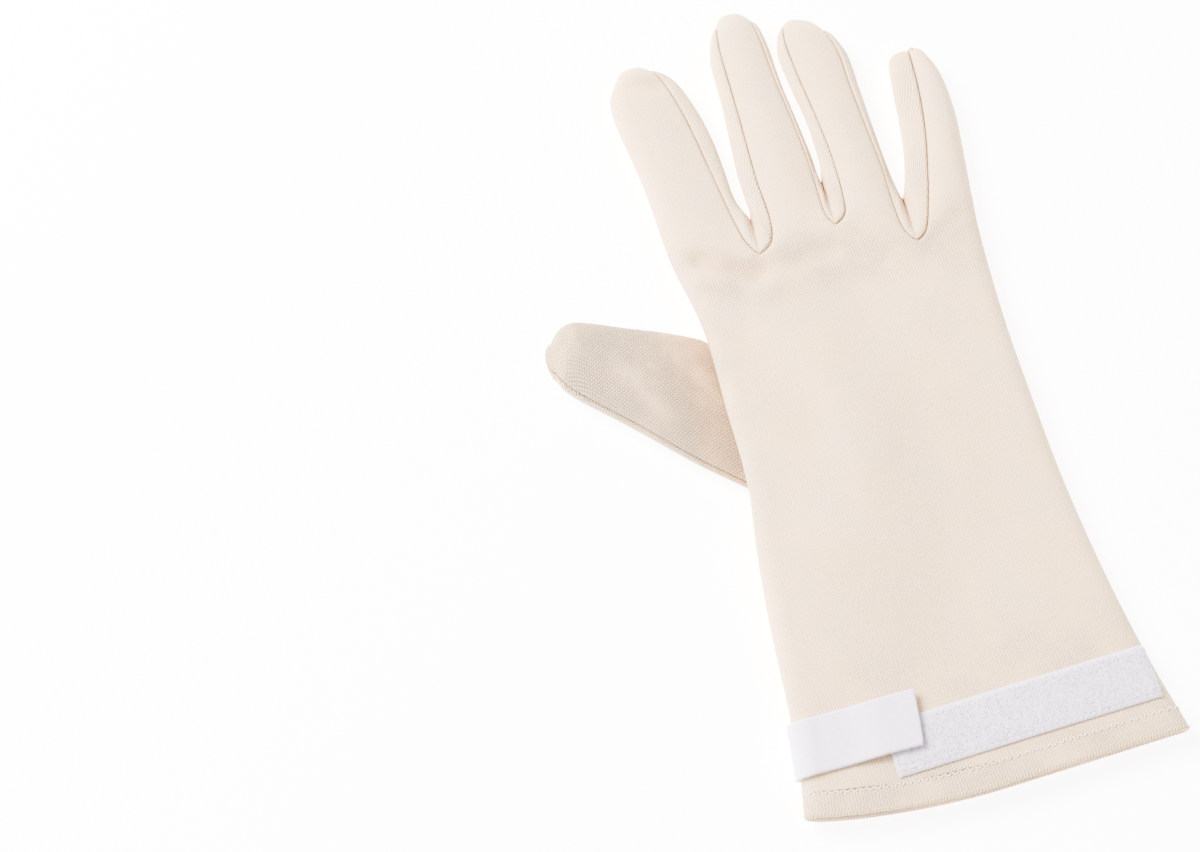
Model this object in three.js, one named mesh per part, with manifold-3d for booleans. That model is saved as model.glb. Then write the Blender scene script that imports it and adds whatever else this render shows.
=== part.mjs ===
// Cotton glove liner for the right hand, lying flat on its palm with the back up.
// Millimetres. X runs to the little finger, Y to the fingertips, Z up from the surface it lies on.
// Back and palm are cut with the four fingers, three fourchettes close the fingers' sides,
// a thumb is let into an oval in the palm, and the cuff has a turned hem and a hook-and-loop closure.

import * as THREE from "three";
import { mergeGeometries, mergeVertices } from "three/addons/utils/BufferGeometryUtils.js";
import Module from "manifold-3d";

const wasm = await Module();
wasm.setup();

// Driving dimensions
const CLOTH = 1.3; // thickness of the knitted cloth
const SEAM_GAP = 0.4; // slit left between two pieces where they are sewn
const MIDDLE = { x: -15.3, y: 157.74 }; // middle of the outline, where the origin goes
const HEM_DEPTH = 8;
const HEM_THICK = 2.4; // two layers of cloth
const SIDE_ROUND = 6.5; // width of the turn from back to palm at an unsewn side
const SIDE_SEAM_INSET = 10; // the long side seam lies on the palm, this far in from the fold
const CROWN_DROP = 1.0; // the back is this much lower at its sides than in its middle
const FINGER_SEAM_Z = 8.0; // height of the seams on the back of a finger
const FINGER_CROWN = 1.9; // the middle of a finger stands this far above its two seams
const PALM_SEAM_Z = 0.9; // height of the seams on the palm side of a finger
const PALM_SEAM_INSET = 3.8; // those seams lie this far in from the finger's outermost line
const FINGER_SIDE_Z = 4.7; // height of a finger's outermost line
const TIP_Z = 4.0; // height at which back and palm meet at a fingertip
const TIP_START = 0.88; // share of a finger's length at which it starts to close
const TAPE_GAP = 0.4;
const LOOP_THICK = 1.5;
const HOOK_THICK = 1.0;
const TAPE_WIDTH = 20;

// Hand and cuff: left and right side, and the height of the back in the middle, at places along the glove
const HAND = [
  { y: -4, left: -71.5, right: 71.5, back: 10.0 },
  { y: 8, left: -70.0, right: 69.6, back: 10.0 },
  { y: 24, left: -66.2, right: 67.0, back: 10.1 },
  { y: 50, left: -62.2, right: 64.0, back: 10.2 },
  { y: 80, left: -58.8, right: 62.0, back: 10.3 },
  { y: 105, left: -55.2, right: 61.3, back: 10.4 },
  { y: 130, left: -50.4, right: 61.7, back: 10.6 },
  { y: 160, left: -48.6, right: 62.6, back: 10.6 },
  { y: 190, left: -46.8, right: 65.0, back: 10.4 },
  { y: 215, left: -48.9, right: 68.0, back: 10.0 },
];

// Sides of the two outer fingers, which are folded and not sewn, from the knuckle to the tip
const FOLDS = {
  index: [
    { x: -48.9, y: 214.0 },
    { x: -49.3, y: 223.0 },
    { x: -49.3, y: 235.0 },
    { x: -49.2, y: 252.0 },
    { x: -50.1, y: 268.0 },
    { x: -51.4, y: 284.0 },
    { x: -50.6, y: 295.0 },
    { x: -45.5, y: 303.0 },
  ],
  little: [
    { x: 66.6, y: 205.0 },
    { x: 68.2, y: 214.0 },
    { x: 70.2, y: 225.0 },
    { x: 72.4, y: 237.0 },
    { x: 74.3, y: 249.0 },
    { x: 75.0, y: 260.0 },
    { x: 74.4, y: 270.0 },
    { x: 71.0, y: 279.6 },
  ],
};

// Sides with a fourchette, from the web to the tip: the seam on the back, and the finger's outermost line
const WEBS = {
  index_middle: {
    left: [
      { seamX: -17.1, seamY: 215.1, outX: -14.8, outY: 232.7 },
      { seamX: -20.2, seamY: 221.5, outX: -16.6, outY: 236.5 },
      { seamX: -21.6, seamY: 233.5, outX: -18.0, outY: 243.0 },
      { seamX: -23.3, seamY: 253.5, outX: -17.8, outY: 256.0 },
      { seamX: -24.6, seamY: 270.0, outX: -18.3, outY: 270.0 },
      { seamX: -26.2, seamY: 283.0, outX: -20.3, outY: 283.0 },
      { seamX: -29.0, seamY: 296.0, outX: -24.0, outY: 295.5 },
      { seamX: -32.5, seamY: 303.0, outX: -30.0, outY: 302.3 },
    ],
    right: [
      { seamX: -17.1, seamY: 215.1, outX: -14.8, outY: 232.7 },
      { seamX: -11.2, seamY: 219.0, outX: -14.0, outY: 236.0 },
      { seamX: -8.2, seamY: 229.0, outX: -14.0, outY: 242.0 },
      { seamX: -7.8, seamY: 246.0, outX: -13.6, outY: 252.0 },
      { seamX: -6.6, seamY: 262.0, outX: -12.0, outY: 265.0 },
      { seamX: -5.2, seamY: 281.0, outX: -10.0, outY: 282.0 },
      { seamX: -4.0, seamY: 301.0, outX: -8.6, outY: 299.0 },
      { seamX: -2.0, seamY: 312.8, outX: -4.2, outY: 311.8 },
    ],
  },
  middle_ring: {
    left: [
      { seamX: 14.4, seamY: 218.6, outX: 15.8, outY: 238.6 },
      { seamX: 12.2, seamY: 223.5, outX: 15.4, outY: 242.0 },
      { seamX: 12.6, seamY: 233.0, outX: 15.6, outY: 247.0 },
      { seamX: 13.4, seamY: 248.0, outX: 15.6, outY: 254.0 },
      { seamX: 13.2, seamY: 264.0, outX: 15.2, outY: 266.0 },
      { seamX: 12.4, seamY: 283.0, outX: 14.6, outY: 283.0 },
      { seamX: 12.4, seamY: 300.0, outX: 14.9, outY: 299.0 },
      { seamX: 11.6, seamY: 312.0, outX: 13.9, outY: 311.0 },
    ],
    right: [
      { seamX: 14.4, seamY: 218.6, outX: 15.8, outY: 238.6 },
      { seamX: 19.3, seamY: 222.0, outX: 16.8, outY: 242.0 },
      { seamX: 21.4, seamY: 231.0, outX: 17.8, outY: 247.0 },
      { seamX: 22.5, seamY: 246.0, outX: 18.4, outY: 255.0 },
      { seamX: 22.4, seamY: 262.0, outX: 18.6, outY: 266.0 },
      { seamX: 21.5, seamY: 281.0, outX: 17.6, outY: 281.0 },
      { seamX: 21.2, seamY: 297.0, outX: 17.4, outY: 295.0 },
      { seamX: 22.8, seamY: 305.5, outX: 20.6, outY: 304.6 },
    ],
  },
  ring_little: {
    left: [
      { seamX: 41.5, seamY: 203.2, outX: 42.9, outY: 222.9 },
      { seamX: 38.3, seamY: 209.0, outX: 42.2, outY: 227.0 },
      { seamX: 38.2, seamY: 220.0, outX: 41.9, outY: 233.0 },
      { seamX: 39.3, seamY: 236.0, outX: 41.9, outY: 243.0 },
      { seamX: 39.2, seamY: 253.0, outX: 42.2, outY: 256.0 },
      { seamX: 39.1, seamY: 272.0, outX: 42.7, outY: 272.0 },
      { seamX: 39.4, seamY: 288.0, outX: 43.0, outY: 287.0 },
      { seamX: 37.0, seamY: 299.8, outX: 39.4, outY: 299.2 },
    ],
    right: [
      { seamX: 41.5, seamY: 203.2, outX: 42.9, outY: 222.9 },
      { seamX: 46.5, seamY: 206.8, outX: 44.6, outY: 226.0 },
      { seamX: 51.4, seamY: 218.0, outX: 47.4, outY: 233.0 },
      { seamX: 56.0, seamY: 231.5, outX: 50.6, outY: 244.0 },
      { seamX: 60.3, seamY: 246.0, outX: 52.8, outY: 256.0 },
      { seamX: 63.6, seamY: 262.0, outX: 54.8, outY: 267.5 },
      { seamX: 65.2, seamY: 273.0, outX: 57.4, outY: 276.0 },
      { seamX: 65.8, seamY: 280.0, outX: 62.8, outY: 280.6 },
    ],
  },
};
const TIP_BULGE = { index: 3.2, middle: 4.8, ring: 4.2, little: 2.4 };

// The oval in the palm that the thumb is let into, and the pads of palm that lie on something
const OVAL = { x: -31, y: 134, halfLength: 36, halfWidth: 14.5, tilt: THREE.MathUtils.degToRad(8.5) };
const THUMB_LIFT = 7.6; // the palm lies this high over the thumb
const BACK_SHARE = 0.7; // the back rises by this share of what the palm rises,
const BACK_SPREAD = 1.8; // and falls off so many times as far from it
const PADS = [
  { x: -33, y: 136, rx: 21, ry: 42, height: THUMB_LIFT, fade: 20 },
  { x: -47, y: 161, rx: 15, ry: 36, height: THUMB_LIFT, fade: 16 },
  { x: -62, y: 31.5, rx: 31, ry: 20, height: TAPE_GAP + HOOK_THICK, fade: 12 },
];

// Thumb, flat on the surface: its lower and upper edge and its height, from the hand's side to the tip
const THUMB = [
  { lowX: -49.6, lowY: 131.0, highX: -47.6, highY: 191.5, top: 7.1 },
  { lowX: -56.0, lowY: 137.0, highX: -54.0, highY: 195.0, top: 7.9 },
  { lowX: -63.7, lowY: 144.3, highX: -62.0, highY: 198.8, top: 9.2 },
  { lowX: -72.0, lowY: 153.3, highX: -70.5, highY: 202.6, top: 9.9 },
  { lowX: -80.5, lowY: 163.0, highX: -79.0, highY: 206.5, top: 9.9 },
  { lowX: -89.0, lowY: 172.0, highX: -87.0, highY: 210.3, top: 9.6 },
  { lowX: -96.3, lowY: 179.8, highX: -92.6, highY: 212.0, top: 9.2 },
  { lowX: -101.6, lowY: 186.6, highX: -97.8, highY: 210.4, top: 8.6 },
  { lowX: -104.2, lowY: 192.5, highX: -101.8, highY: 206.5, top: 7.4 },
];
const THUMB_END = { x: -105.6, y: 199.5 }; // the very tip
const THUMB_BOX = 2.6; // exponent of the rounded section: 2 is an ellipse, more is boxier
const THUMB_NECK_Z = 7.0; // the rim goes straight down this low before the thumb turns to its side
const ELBOW_ROWS = 5;
const THUMB_POINTS = 24;

// Closure: the loop strip on the back, and the hook tab that comes round from the palm.
// The tab's two ends are measured round the cuff from the thumb's side, and the strip's columns are closer
// together towards its right end, where the cuff turns.
const LOOP_STRIP = { left: -34, right: 64.6, middleY: 21.2, columns: 22, closer: 1.7 };
const HOOK_TAB = { palmEnd: -25, backEnd: 46.5, middleY: 31.4, slope: -0.04, columns: 30 };
const HOOK_CLIMB = { from: 27, to: 33 }; // stretch over which the tab climbs onto the loop strip
const HOOK_EASE = { height: 0.9, middle: 3, reach: 9 }; // the tab stands this much off the cuff's side
const TAPE_ROWS = 3;

// How finely the cloth is divided
const HAND_ROWS = 18;
const FINGER_ROWS = 8;
const TIP_ROWS = 4;
const TURN_COLUMNS = 3;
const STRIP_COLUMNS = 5;
const FOURCHETTE_COLUMNS = 6;

const { lerp, clamp, smoothstep } = THREE.MathUtils;
const last = (list) => list[list.length - 1];
const evenly = (count) => Array.from({ length: count + 1 }, (_, i) => i / count);

// The value of a column of HAND at a place along the glove, with the rows joined smoothly
function handAt(key, y) {
  const above = HAND.findIndex((row) => row.y > y);
  const i = clamp(above < 0 ? HAND.length : above, 1, HAND.length - 1) - 1;
  const slope = (k) => {
    const from = HAND[Math.max(k - 1, 0)];
    const to = HAND[Math.min(k + 1, HAND.length - 1)];
    return (to[key] - from[key]) / (to.y - from.y);
  };
  const span = HAND[i + 1].y - HAND[i].y;
  const rise = HAND[i + 1][key] - HAND[i][key];
  const t = clamp((y - HAND[i].y) / span, 0, 1);
  const bend = (1 - t) * (slope(i) * span - rise) - t * (slope(i + 1) * span - rise);
  return HAND[i][key] + rise * t + t * (1 - t) * bend;
}

// How high the palm lies over what is under it
function palmZ(x, y, spread = 1) {
  let lift = 0;
  for (const pad of PADS) {
    const outside = (Math.hypot((x - pad.x) / pad.rx, (y - pad.y) / pad.ry) - 1) * Math.min(pad.rx, pad.ry);
    lift = Math.max(lift, pad.height * (1 - smoothstep(outside, 0, spread * pad.fade)));
  }
  return lift;
}

function backZ(x, y) {
  const left = handAt("left", y);
  const right = handAt("right", y);
  const across = clamp((2 * x - left - right) / (right - left), -1, 1);
  return handAt("back", y) - CROWN_DROP * across ** 2 + BACK_SHARE * palmZ(x, y, BACK_SPREAD);
}

// Line of the hem's edge: it rises towards the thumb's side
const hemEdgeY = (x) => -1.6 + 0.0017 * Math.max(0, 5 - x) ** 2;

// A line that runs from the cuff to a fingertip. Station -1 is the hem's edge, 0 the hem's stitching,
// 1 the knuckle or web, and 2 the fingertip.
function line(knuckle, fingerCurve) {
  const left = handAt("left", knuckle.y);
  const share = (knuckle.x - left) / (handAt("right", knuckle.y) - left);
  const edgeY = hemEdgeY(lerp(handAt("left", 0), handAt("right", 0), share));
  return (station, face) => {
    if (station > 1) return fingerCurve(station - 1, face);
    const stitchY = edgeY + HEM_DEPTH;
    const y = station < 0 ? lerp(stitchY, edgeY, -station) : lerp(stitchY, knuckle.y, station);
    return new THREE.Vector2(lerp(handAt("left", y), handAt("right", y), share), y);
  };
}

const curveOf = (rows, x, y) => new THREE.SplineCurve(rows.map((row) => new THREE.Vector2(row[x], row[y])));

function foldLine(rows) {
  const curve = curveOf(rows, "x", "y");
  return line(rows[0], (t) => curve.getPoint(t));
}

// The seam on the palm lies further out than the one on the back, and meets it at the web and the tip
function seamLine(web, side) {
  const rows = WEBS[web][side];
  const inward = side === "left" ? -1 : 1;
  const back = curveOf(rows, "seamX", "seamY");
  const palmRows = rows.map((row, i) => {
    const atEnd = i === 0 || i === rows.length - 1;
    return { x: atEnd ? row.seamX : row.outX + inward * PALM_SEAM_INSET, y: row.seamY };
  });
  const palm = curveOf(palmRows, "x", "y");
  return line(back.getPoint(0), (t, face) => (face > 0 ? back : palm).getPoint(t));
}

// The cloth of the hand is four strips side by side, each running up into its finger
const STRIPS = [
  {
    finger: "index",
    left: foldLine(FOLDS.index),
    right: seamLine("index_middle", "left"),
    fold: -1,
  },
  {
    finger: "middle",
    left: seamLine("index_middle", "right"),
    right: seamLine("middle_ring", "left"),
    fold: 0,
  },
  {
    finger: "ring",
    left: seamLine("middle_ring", "right"),
    right: seamLine("ring_little", "left"),
    fold: 0,
  },
  {
    finger: "little",
    left: seamLine("ring_little", "right"),
    right: foldLine(FOLDS.little),
    fold: 1,
  },
];

// Stations of the rows: even up the hand and the finger, and closer together where the tip is round
const fingerStations = [
  ...evenly(FINGER_ROWS).map((share) => share * TIP_START),
  ...evenly(TIP_ROWS)
    .slice(1)
    .map((share) => lerp(TIP_START, 1, Math.sin((share * Math.PI) / 2))),
];
const clothStations = [...evenly(HAND_ROWS), ...fingerStations.slice(1).map((t) => 1 + t)];
const hemStations = [-1, -0.5, -SEAM_GAP / HEM_DEPTH];

// How near a station is to the fingertip, from 0 where the finger starts to close to 1 at the end
const nearTip = (station) => clamp((station - 1 - TIP_START) / (1 - TIP_START), 0, 1);
// How far the finger is open there, from 1 down to 0
const openness = (station) => Math.sqrt(1 - nearTip(station) ** 3);

// Columns of a strip: how far each lies from the strip's left line, and how far the cloth has turned there
// from the fold's edge, 0, onto the flat, 1. The inside of the turn is narrower by the cloth's depth.
function columnsOf(strip, width, depth) {
  if (!strip.fold) return evenly(STRIP_COLUMNS).map((share) => ({ at: share * width, turned: 1 }));
  const turn = Math.min(SIDE_ROUND, 0.4 * width);
  const inset = Math.min(SIDE_SEAM_INSET, 0.65 * width);
  const start = Math.min(depth, 0.4 * turn);
  const columns = [
    ...evenly(TURN_COLUMNS).map((share) => {
      const angle = (share * Math.PI) / 2;
      return { at: lerp(start, turn, 1 - Math.cos(angle)), turned: Math.sin(angle) };
    }),
    ...evenly(STRIP_COLUMNS - 2).map((share) => ({ at: lerp(inset, width, share), turned: 1 })),
  ];
  if (strip.fold < 0) return columns;
  return columns.reverse().map(({ at, turned }) => ({ at: width - at, turned }));
}
const FOLDED_COLUMNS = TURN_COLUMNS + STRIP_COLUMNS - 1;
const SEAM_COLUMN = STRIP_COLUMNS - 2; // where the long side seam runs in the little finger's strip

// A point of the hand's cloth, at a depth under its outside: face 1 is the back and -1 the palm. The piece,
// 1 or -1 likewise, tells whose seams bound it, because the back's cloth also goes round to the palm.
function clothPoint(strip, piece, face, column, station, depth) {
  const from = strip.left(station, piece);
  const to = strip.right(station, piece);
  const width = from.distanceTo(to);
  const { at, turned } = columnsOf(strip, width, depth)[column];
  const share = at / width;
  const crown = 1 - (2 * share - 1) ** 2;
  const tip = nearTip(station);
  const plan = from.clone().lerp(to, share);
  plan.y += (TIP_BULGE[strip.finger] * crown - depth) * tip ** 2;

  const inFinger = smoothstep(station, 1, 1.35);
  const seamRise = strip.fold ? 0.5 * PALM_SEAM_Z : PALM_SEAM_Z;
  const back = lerp(backZ(plan.x, plan.y), FINGER_SEAM_Z + FINGER_CROWN * crown, inFinger);
  const palm = lerp(palmZ(plan.x, plan.y), seamRise * (1 - crown) ** 2, inFinger);
  const flat = face > 0 ? back - depth : palm + depth;
  const z = lerp((back + palm) / 2, flat, turned);
  const open = openness(station);
  // Back and palm part at the fingertips and down the index finger's side. Round the little finger's side
  // they stay joined.
  const parted = strip.fold > 0 ? turned * (1 - open) : 1 - turned * open;
  const slit = station < 0 ? 0 : (face * parted * SEAM_GAP) / 2;
  return new THREE.Vector3(plan.x, plan.y, lerp(TIP_Z, z, open) + slit);
}

// A grid of points given by a function of the column's number, the row's number and the depth under the
// outside. Each vertex keeps its point on the inside too.
function patch(columns, rows, thickness, place) {
  const geometry = new THREE.PlaneGeometry(columns, rows, columns, rows);
  geometry.deleteAttribute("normal");
  geometry.deleteAttribute("uv");
  const position = geometry.attributes.position;
  const inside = position.clone();
  for (let i = 0; i < position.count; i++) {
    const column = Math.round(position.getX(i) + columns / 2);
    const row = Math.round(position.getY(i) + rows / 2);
    position.setXYZ(i, ...place(column, row, 0));
    inside.setXYZ(i, ...place(column, row, thickness));
  }
  geometry.setAttribute("inside", inside);
  return geometry;
}

// The same grid with its faces turned over
function turnedOver(geometry) {
  const index = geometry.index;
  for (let i = 0; i < index.count; i += 3) {
    const kept = index.getX(i);
    index.setX(i, index.getX(i + 1));
    index.setX(i + 1, kept);
  }
  return geometry;
}

// Joins patches into one closed cloth: its outside, its inside, and a wall along every open edge
function cloth(patches) {
  const skin = mergeVertices(mergeGeometries(patches), 1e-3);
  const count = skin.attributes.position.count;
  const pointsOf = (attribute) =>
    Array.from({ length: count }, (_, i) => new THREE.Vector3().fromBufferAttribute(attribute, i));
  const points = [...pointsOf(skin.attributes.position), ...pointsOf(skin.attributes.inside)];
  const faces = [];
  const edges = new Map();
  for (let i = 0; i < skin.index.count; i += 3) {
    const [a, b, c] = [0, 1, 2].map((k) => skin.index.getX(i + k));
    if (a === b || b === c || c === a) continue;
    faces.push([a, b, c], [c + count, b + count, a + count]);
    for (const [from, to] of [[a, b], [b, c], [c, a]]) edges.set(`${from},${to}`, [from, to]);
  }
  for (const [from, to] of edges.values()) {
    if (edges.has(`${to},${from}`)) continue;
    faces.push([to, from, from + count], [to, from + count, to + count]);
  }
  const made = new THREE.BufferGeometry().setFromPoints(points);
  made.setIndex(faces.flat());
  return made;
}

// A surface that gets its thickness at right angles to itself, measured from its neighbouring points
const off = (surface, step = 0.02) => (u, v, depth) => {
  const across = surface(u + step, v).sub(surface(u - step, v));
  const along = surface(u, v + step).sub(surface(u, v - step));
  return surface(u, v).addScaledVector(across.cross(along).normalize(), -depth);
};

function toSolid(geometry) {
  const merged = mergeVertices(geometry, 1e-4);
  return new wasm.Manifold(
    new wasm.Mesh({
      numProp: 3,
      vertProperties: new Float32Array(merged.attributes.position.array),
      triVerts: new Uint32Array(merged.index.array),
    }),
  );
}

function fromSolid(solid) {
  const mesh = solid.getMesh();
  const made = new THREE.BufferGeometry();
  made.setAttribute("position", new THREE.BufferAttribute(mesh.vertProperties, 3));
  made.setIndex(new THREE.BufferAttribute(mesh.triVerts, 1));
  return made;
}

// One face of a strip, from one of its columns to another. The slit moves the column at the side seam.
function stripPatch(strip, { piece, face = piece, stations = clothStations, columns, thickness, slit }) {
  const [first, end] = columns ?? [0, strip.fold ? FOLDED_COLUMNS : STRIP_COLUMNS];
  const geometry = patch(end - first, stations.length - 1, thickness ?? CLOTH, (column, row, depth) => {
    const point = clothPoint(strip, piece, face, first + column, stations[row], depth);
    if (slit && first + column === SEAM_COLUMN) point.x += slit;
    return point;
  });
  return face > 0 ? geometry : turnedOver(geometry);
}

function backGeometry() {
  const patches = STRIPS.map((strip) => stripPatch(strip, { piece: 1 }));
  const lip = { piece: 1, face: -1, columns: [SEAM_COLUMN, FOLDED_COLUMNS], slit: SEAM_GAP / 2 };
  return cloth([...patches, stripPatch(last(STRIPS), lip)]);
}

function ovalPoint(angle, grow) {
  const along = (OVAL.halfLength + grow) * Math.cos(angle);
  const across = (OVAL.halfWidth + grow) * Math.sin(angle);
  return new THREE.Vector2(
    OVAL.x - across * Math.cos(OVAL.tilt) + along * Math.sin(OVAL.tilt),
    OVAL.y + across * Math.sin(OVAL.tilt) + along * Math.cos(OVAL.tilt),
  );
}

function palmGeometry() {
  const toSeam = { columns: [0, SEAM_COLUMN], slit: -SEAM_GAP / 2 };
  const patches = STRIPS.map((strip) => stripPatch(strip, { piece: -1, ...(strip.fold > 0 && toSeam) }));
  const outline = evenly(2 * THUMB_POINTS).slice(1).map((share) => ovalPoint(share * 2 * Math.PI, 0));
  const depth = THUMB_LIFT + 2 * CLOTH;
  const cutter = new THREE.ExtrudeGeometry(new THREE.Shape(outline), { depth, bevelEnabled: false });
  cutter.deleteAttribute("normal");
  cutter.deleteAttribute("uv");
  return fromSolid(toSolid(cloth(patches)).subtract(toSolid(cutter)));
}

// Between two fingers one strip of cloth runs down one side, round the web and up the other
function fourchetteGeometry(web) {
  const sides = ["left", "right"].map((side) => ({
    seam: seamLine(web, side),
    out: curveOf(WEBS[web][side], "outX", "outY"),
  }));
  const steps = fingerStations.length - 2;
  const webPoint = sides[0].seam(1, 1);
  const surface = patch(2 * steps, FOURCHETTE_COLUMNS, CLOTH, (column, row, depth) => {
    const side = sides[column < steps ? 0 : 1];
    const t = fingerStations[Math.abs(column - steps)];
    const out = side.out.getPoint(t);
    const [palmEdge, backEdge] = [-1, 1].map((face) => {
      const seam = side.seam(1 + t, face);
      return seam.clone().addScaledVector(out.clone().sub(seam).normalize(), SEAM_GAP);
    });
    const inFinger = smoothstep(t, 0, 0.35);
    const back = lerp(backZ(webPoint.x, webPoint.y), FINGER_SEAM_Z, inFinger);
    const palm = lerp(palmZ(webPoint.x, webPoint.y), PALM_SEAM_Z, inFinger);
    const turn = (row / FOURCHETTE_COLUMNS) * Math.PI;
    const edge = palmEdge.lerp(backEdge, row / FOURCHETTE_COLUMNS);
    const reach = out.sub(edge);
    const square = Math.max(Math.abs(reach.clone().normalize().cross(side.out.getTangent(t))), 0.5);
    const inner = Math.min(depth / square / reach.length(), 0.5);
    const plan = edge.addScaledVector(reach, Math.sin(turn) * (1 - inner));
    const half = turn < Math.PI / 2 ? FINGER_SIDE_Z - palm - depth : back - FINGER_SIDE_Z - depth;
    const z = FINGER_SIDE_Z - half * Math.cos(turn);
    return new THREE.Vector3(plan.x, plan.y, lerp(TIP_Z, z, openness(1 + t)));
  });
  return cloth([turnedOver(surface)]);
}

const signedPower = (value, power) => Math.sign(value) * Math.abs(value) ** power;

// One point of the thumb's section, at an angle from its upper edge, over the top, to its lower edge
function thumbSection({ lowX, lowY, highX, highY, top, floor = 0 }, angle, depth) {
  const inset = depth / Math.hypot(highX - lowX, highY - lowY);
  const across = lerp(inset, 1 - inset, 0.5 + 0.5 * signedPower(Math.cos(angle), 2 / THUMB_BOX));
  const up = 0.5 + 0.5 * signedPower(Math.sin(angle), 2 / THUMB_BOX);
  return new THREE.Vector3(
    lerp(lowX, highX, across),
    lerp(lowY, highY, across),
    lerp(floor + depth, top - depth, up),
  );
}

// The rim stands upright in the oval. From there the thumb turns to the side of the hand and runs out.
function thumbGeometry() {
  const rimPoint = (angle, depth, z) => new THREE.Vector3(...ovalPoint(angle, -SEAM_GAP - depth), z);
  const rows = [
    (angle, depth) => rimPoint(angle, depth, THUMB_LIFT + CLOTH),
    (angle, depth) => rimPoint(angle, depth, THUMB_NECK_Z),
  ];
  for (const share of evenly(ELBOW_ROWS).slice(1, -1)) {
    const turn = (share * Math.PI) / 2;
    rows.push((angle, depth) => {
      const rim = rimPoint(angle, depth, THUMB_NECK_Z);
      const side = thumbSection(THUMB[0], angle, depth);
      const height = lerp(rim.z, side.z, Math.sin(turn));
      return rim.lerp(side, 1 - Math.cos(turn)).setZ(height);
    });
  }
  for (const section of THUMB) rows.push((angle, depth) => thumbSection(section, angle, depth));
  const end = last(THUMB);
  const middleY = (end.lowY + end.highY) / 2;
  rows.push((angle, depth) => {
    const nearEnd = {
      lowX: lerp(end.lowX, THUMB_END.x, 0.7) + depth,
      lowY: lerp(end.lowY, middleY, 0.4),
      highX: lerp(end.highX, THUMB_END.x, 0.7) + depth,
      highY: lerp(end.highY, middleY, 0.4),
      top: 0.8 * end.top,
      floor: 0.2 * end.top,
    };
    return thumbSection(nearEnd, angle, depth);
  });
  rows.push((angle, depth) => new THREE.Vector3(THUMB_END.x + depth, THUMB_END.y, end.top / 2));
  const tube = patch(THUMB_POINTS, rows.length - 1, CLOTH, (column, row, depth) => {
    return rows[row](((column % THUMB_POINTS) / THUMB_POINTS) * 2 * Math.PI, depth);
  });
  return cloth([turnedOver(tube)]);
}

function hemGeometry() {
  const band = { piece: 1, stations: hemStations, thickness: HEM_THICK };
  return cloth([1, -1].flatMap((face) => STRIPS.map((strip) => stripPatch(strip, { ...band, face }))));
}

// A point on the outside of the cuff, so many millimetres round from the thumb's side: up the back, or
// below 0 onto the palm
const TURN_LENGTH = 1.3 * SIDE_ROUND;
function onCuff(around, y) {
  const turn = (clamp(Math.abs(around) / TURN_LENGTH, 0, 1) * Math.PI) / 2;
  const past = Math.max(Math.abs(around) - TURN_LENGTH, 0);
  const x = handAt("left", y) + SIDE_ROUND * (1 - Math.cos(turn)) + past;
  const fromRight = clamp((handAt("right", y) - x) / SIDE_ROUND, 0, 1);
  const turned = Math.sin(turn) * Math.sqrt(1 - (1 - fromRight) ** 2);
  const back = backZ(x, y);
  const palm = palmZ(x, y);
  return new THREE.Vector3(x, y, lerp((back + palm) / 2, around > 0 ? back : palm, turned));
}
const aroundAt = (x, y) => x - handAt("left", y) - SIDE_ROUND + TURN_LENGTH;

function loopStripGeometry() {
  const { left, right, middleY, columns, closer } = LOOP_STRIP;
  const place = off(onCuff);
  const strip = patch(columns, TAPE_ROWS, LOOP_THICK, (column, row, depth) => {
    const y = middleY + TAPE_WIDTH * (row / TAPE_ROWS - 0.5);
    const x = lerp(right, left, (1 - column / columns) ** closer);
    return place(aroundAt(x, y), y, depth - TAPE_GAP - LOOP_THICK);
  });
  return cloth([strip]);
}

function hookTabGeometry() {
  const { palmEnd, backEnd, middleY, slope, columns } = HOOK_TAB;
  const place = off(onCuff);
  const tab = patch(columns, TAPE_ROWS, HOOK_THICK, (column, row, depth) => {
    const around = lerp(palmEnd, backEnd, column / columns);
    const y = middleY + slope * around + TAPE_WIDTH * (row / TAPE_ROWS - 0.5);
    const climb = (LOOP_THICK + TAPE_GAP) * smoothstep(around, HOOK_CLIMB.from, HOOK_CLIMB.to);
    const fromTurn = Math.abs(around - HOOK_EASE.middle);
    const ease = HOOK_EASE.height * (1 - smoothstep(fromTurn, 0, HOOK_EASE.reach));
    return place(around, y, depth - TAPE_GAP - HOOK_THICK - climb - ease);
  });
  return cloth([tab]);
}

// Finishes
const cotton = { color: 0xeee4da, roughness: 0.95 };
const fuzzyTape = { color: 0xece8ee, roughness: 0.85 };
const smoothTape = { color: 0xe9e6ee, roughness: 0.6 };

function piece(name, geometry, finish) {
  const mesh = new THREE.Mesh(geometry, new THREE.MeshStandardMaterial({ metalness: 0, ...finish }));
  mesh.name = name;
  return mesh;
}

const glove = new THREE.Group();
glove.add(
  piece("back", backGeometry(), cotton),
  piece("palm", palmGeometry(), cotton),
  piece("fourchette_index_middle", fourchetteGeometry("index_middle"), cotton),
  piece("fourchette_middle_ring", fourchetteGeometry("middle_ring"), cotton),
  piece("fourchette_ring_little", fourchetteGeometry("ring_little"), cotton),
  piece("thumb", thumbGeometry(), cotton),
  piece("cuff_hem", hemGeometry(), cotton),
  piece("loop_strip", loopStripGeometry(), fuzzyTape),
  piece("hook_tab", hookTabGeometry(), smoothTape),
);
glove.position.set(-MIDDLE.x, -MIDDLE.y, 0);

export default glove;
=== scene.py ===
"""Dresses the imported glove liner: knitted cloth, seams, turned hem, and the hook-and-loop closure.

Shapes are worked out in millimetres in the glove's own frame: X to the little finger, Y to the fingertips
from the middle of the hem, Z up. TO_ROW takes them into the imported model's frame, in metres.
"""

import math
import random
from collections import namedtuple

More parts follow.
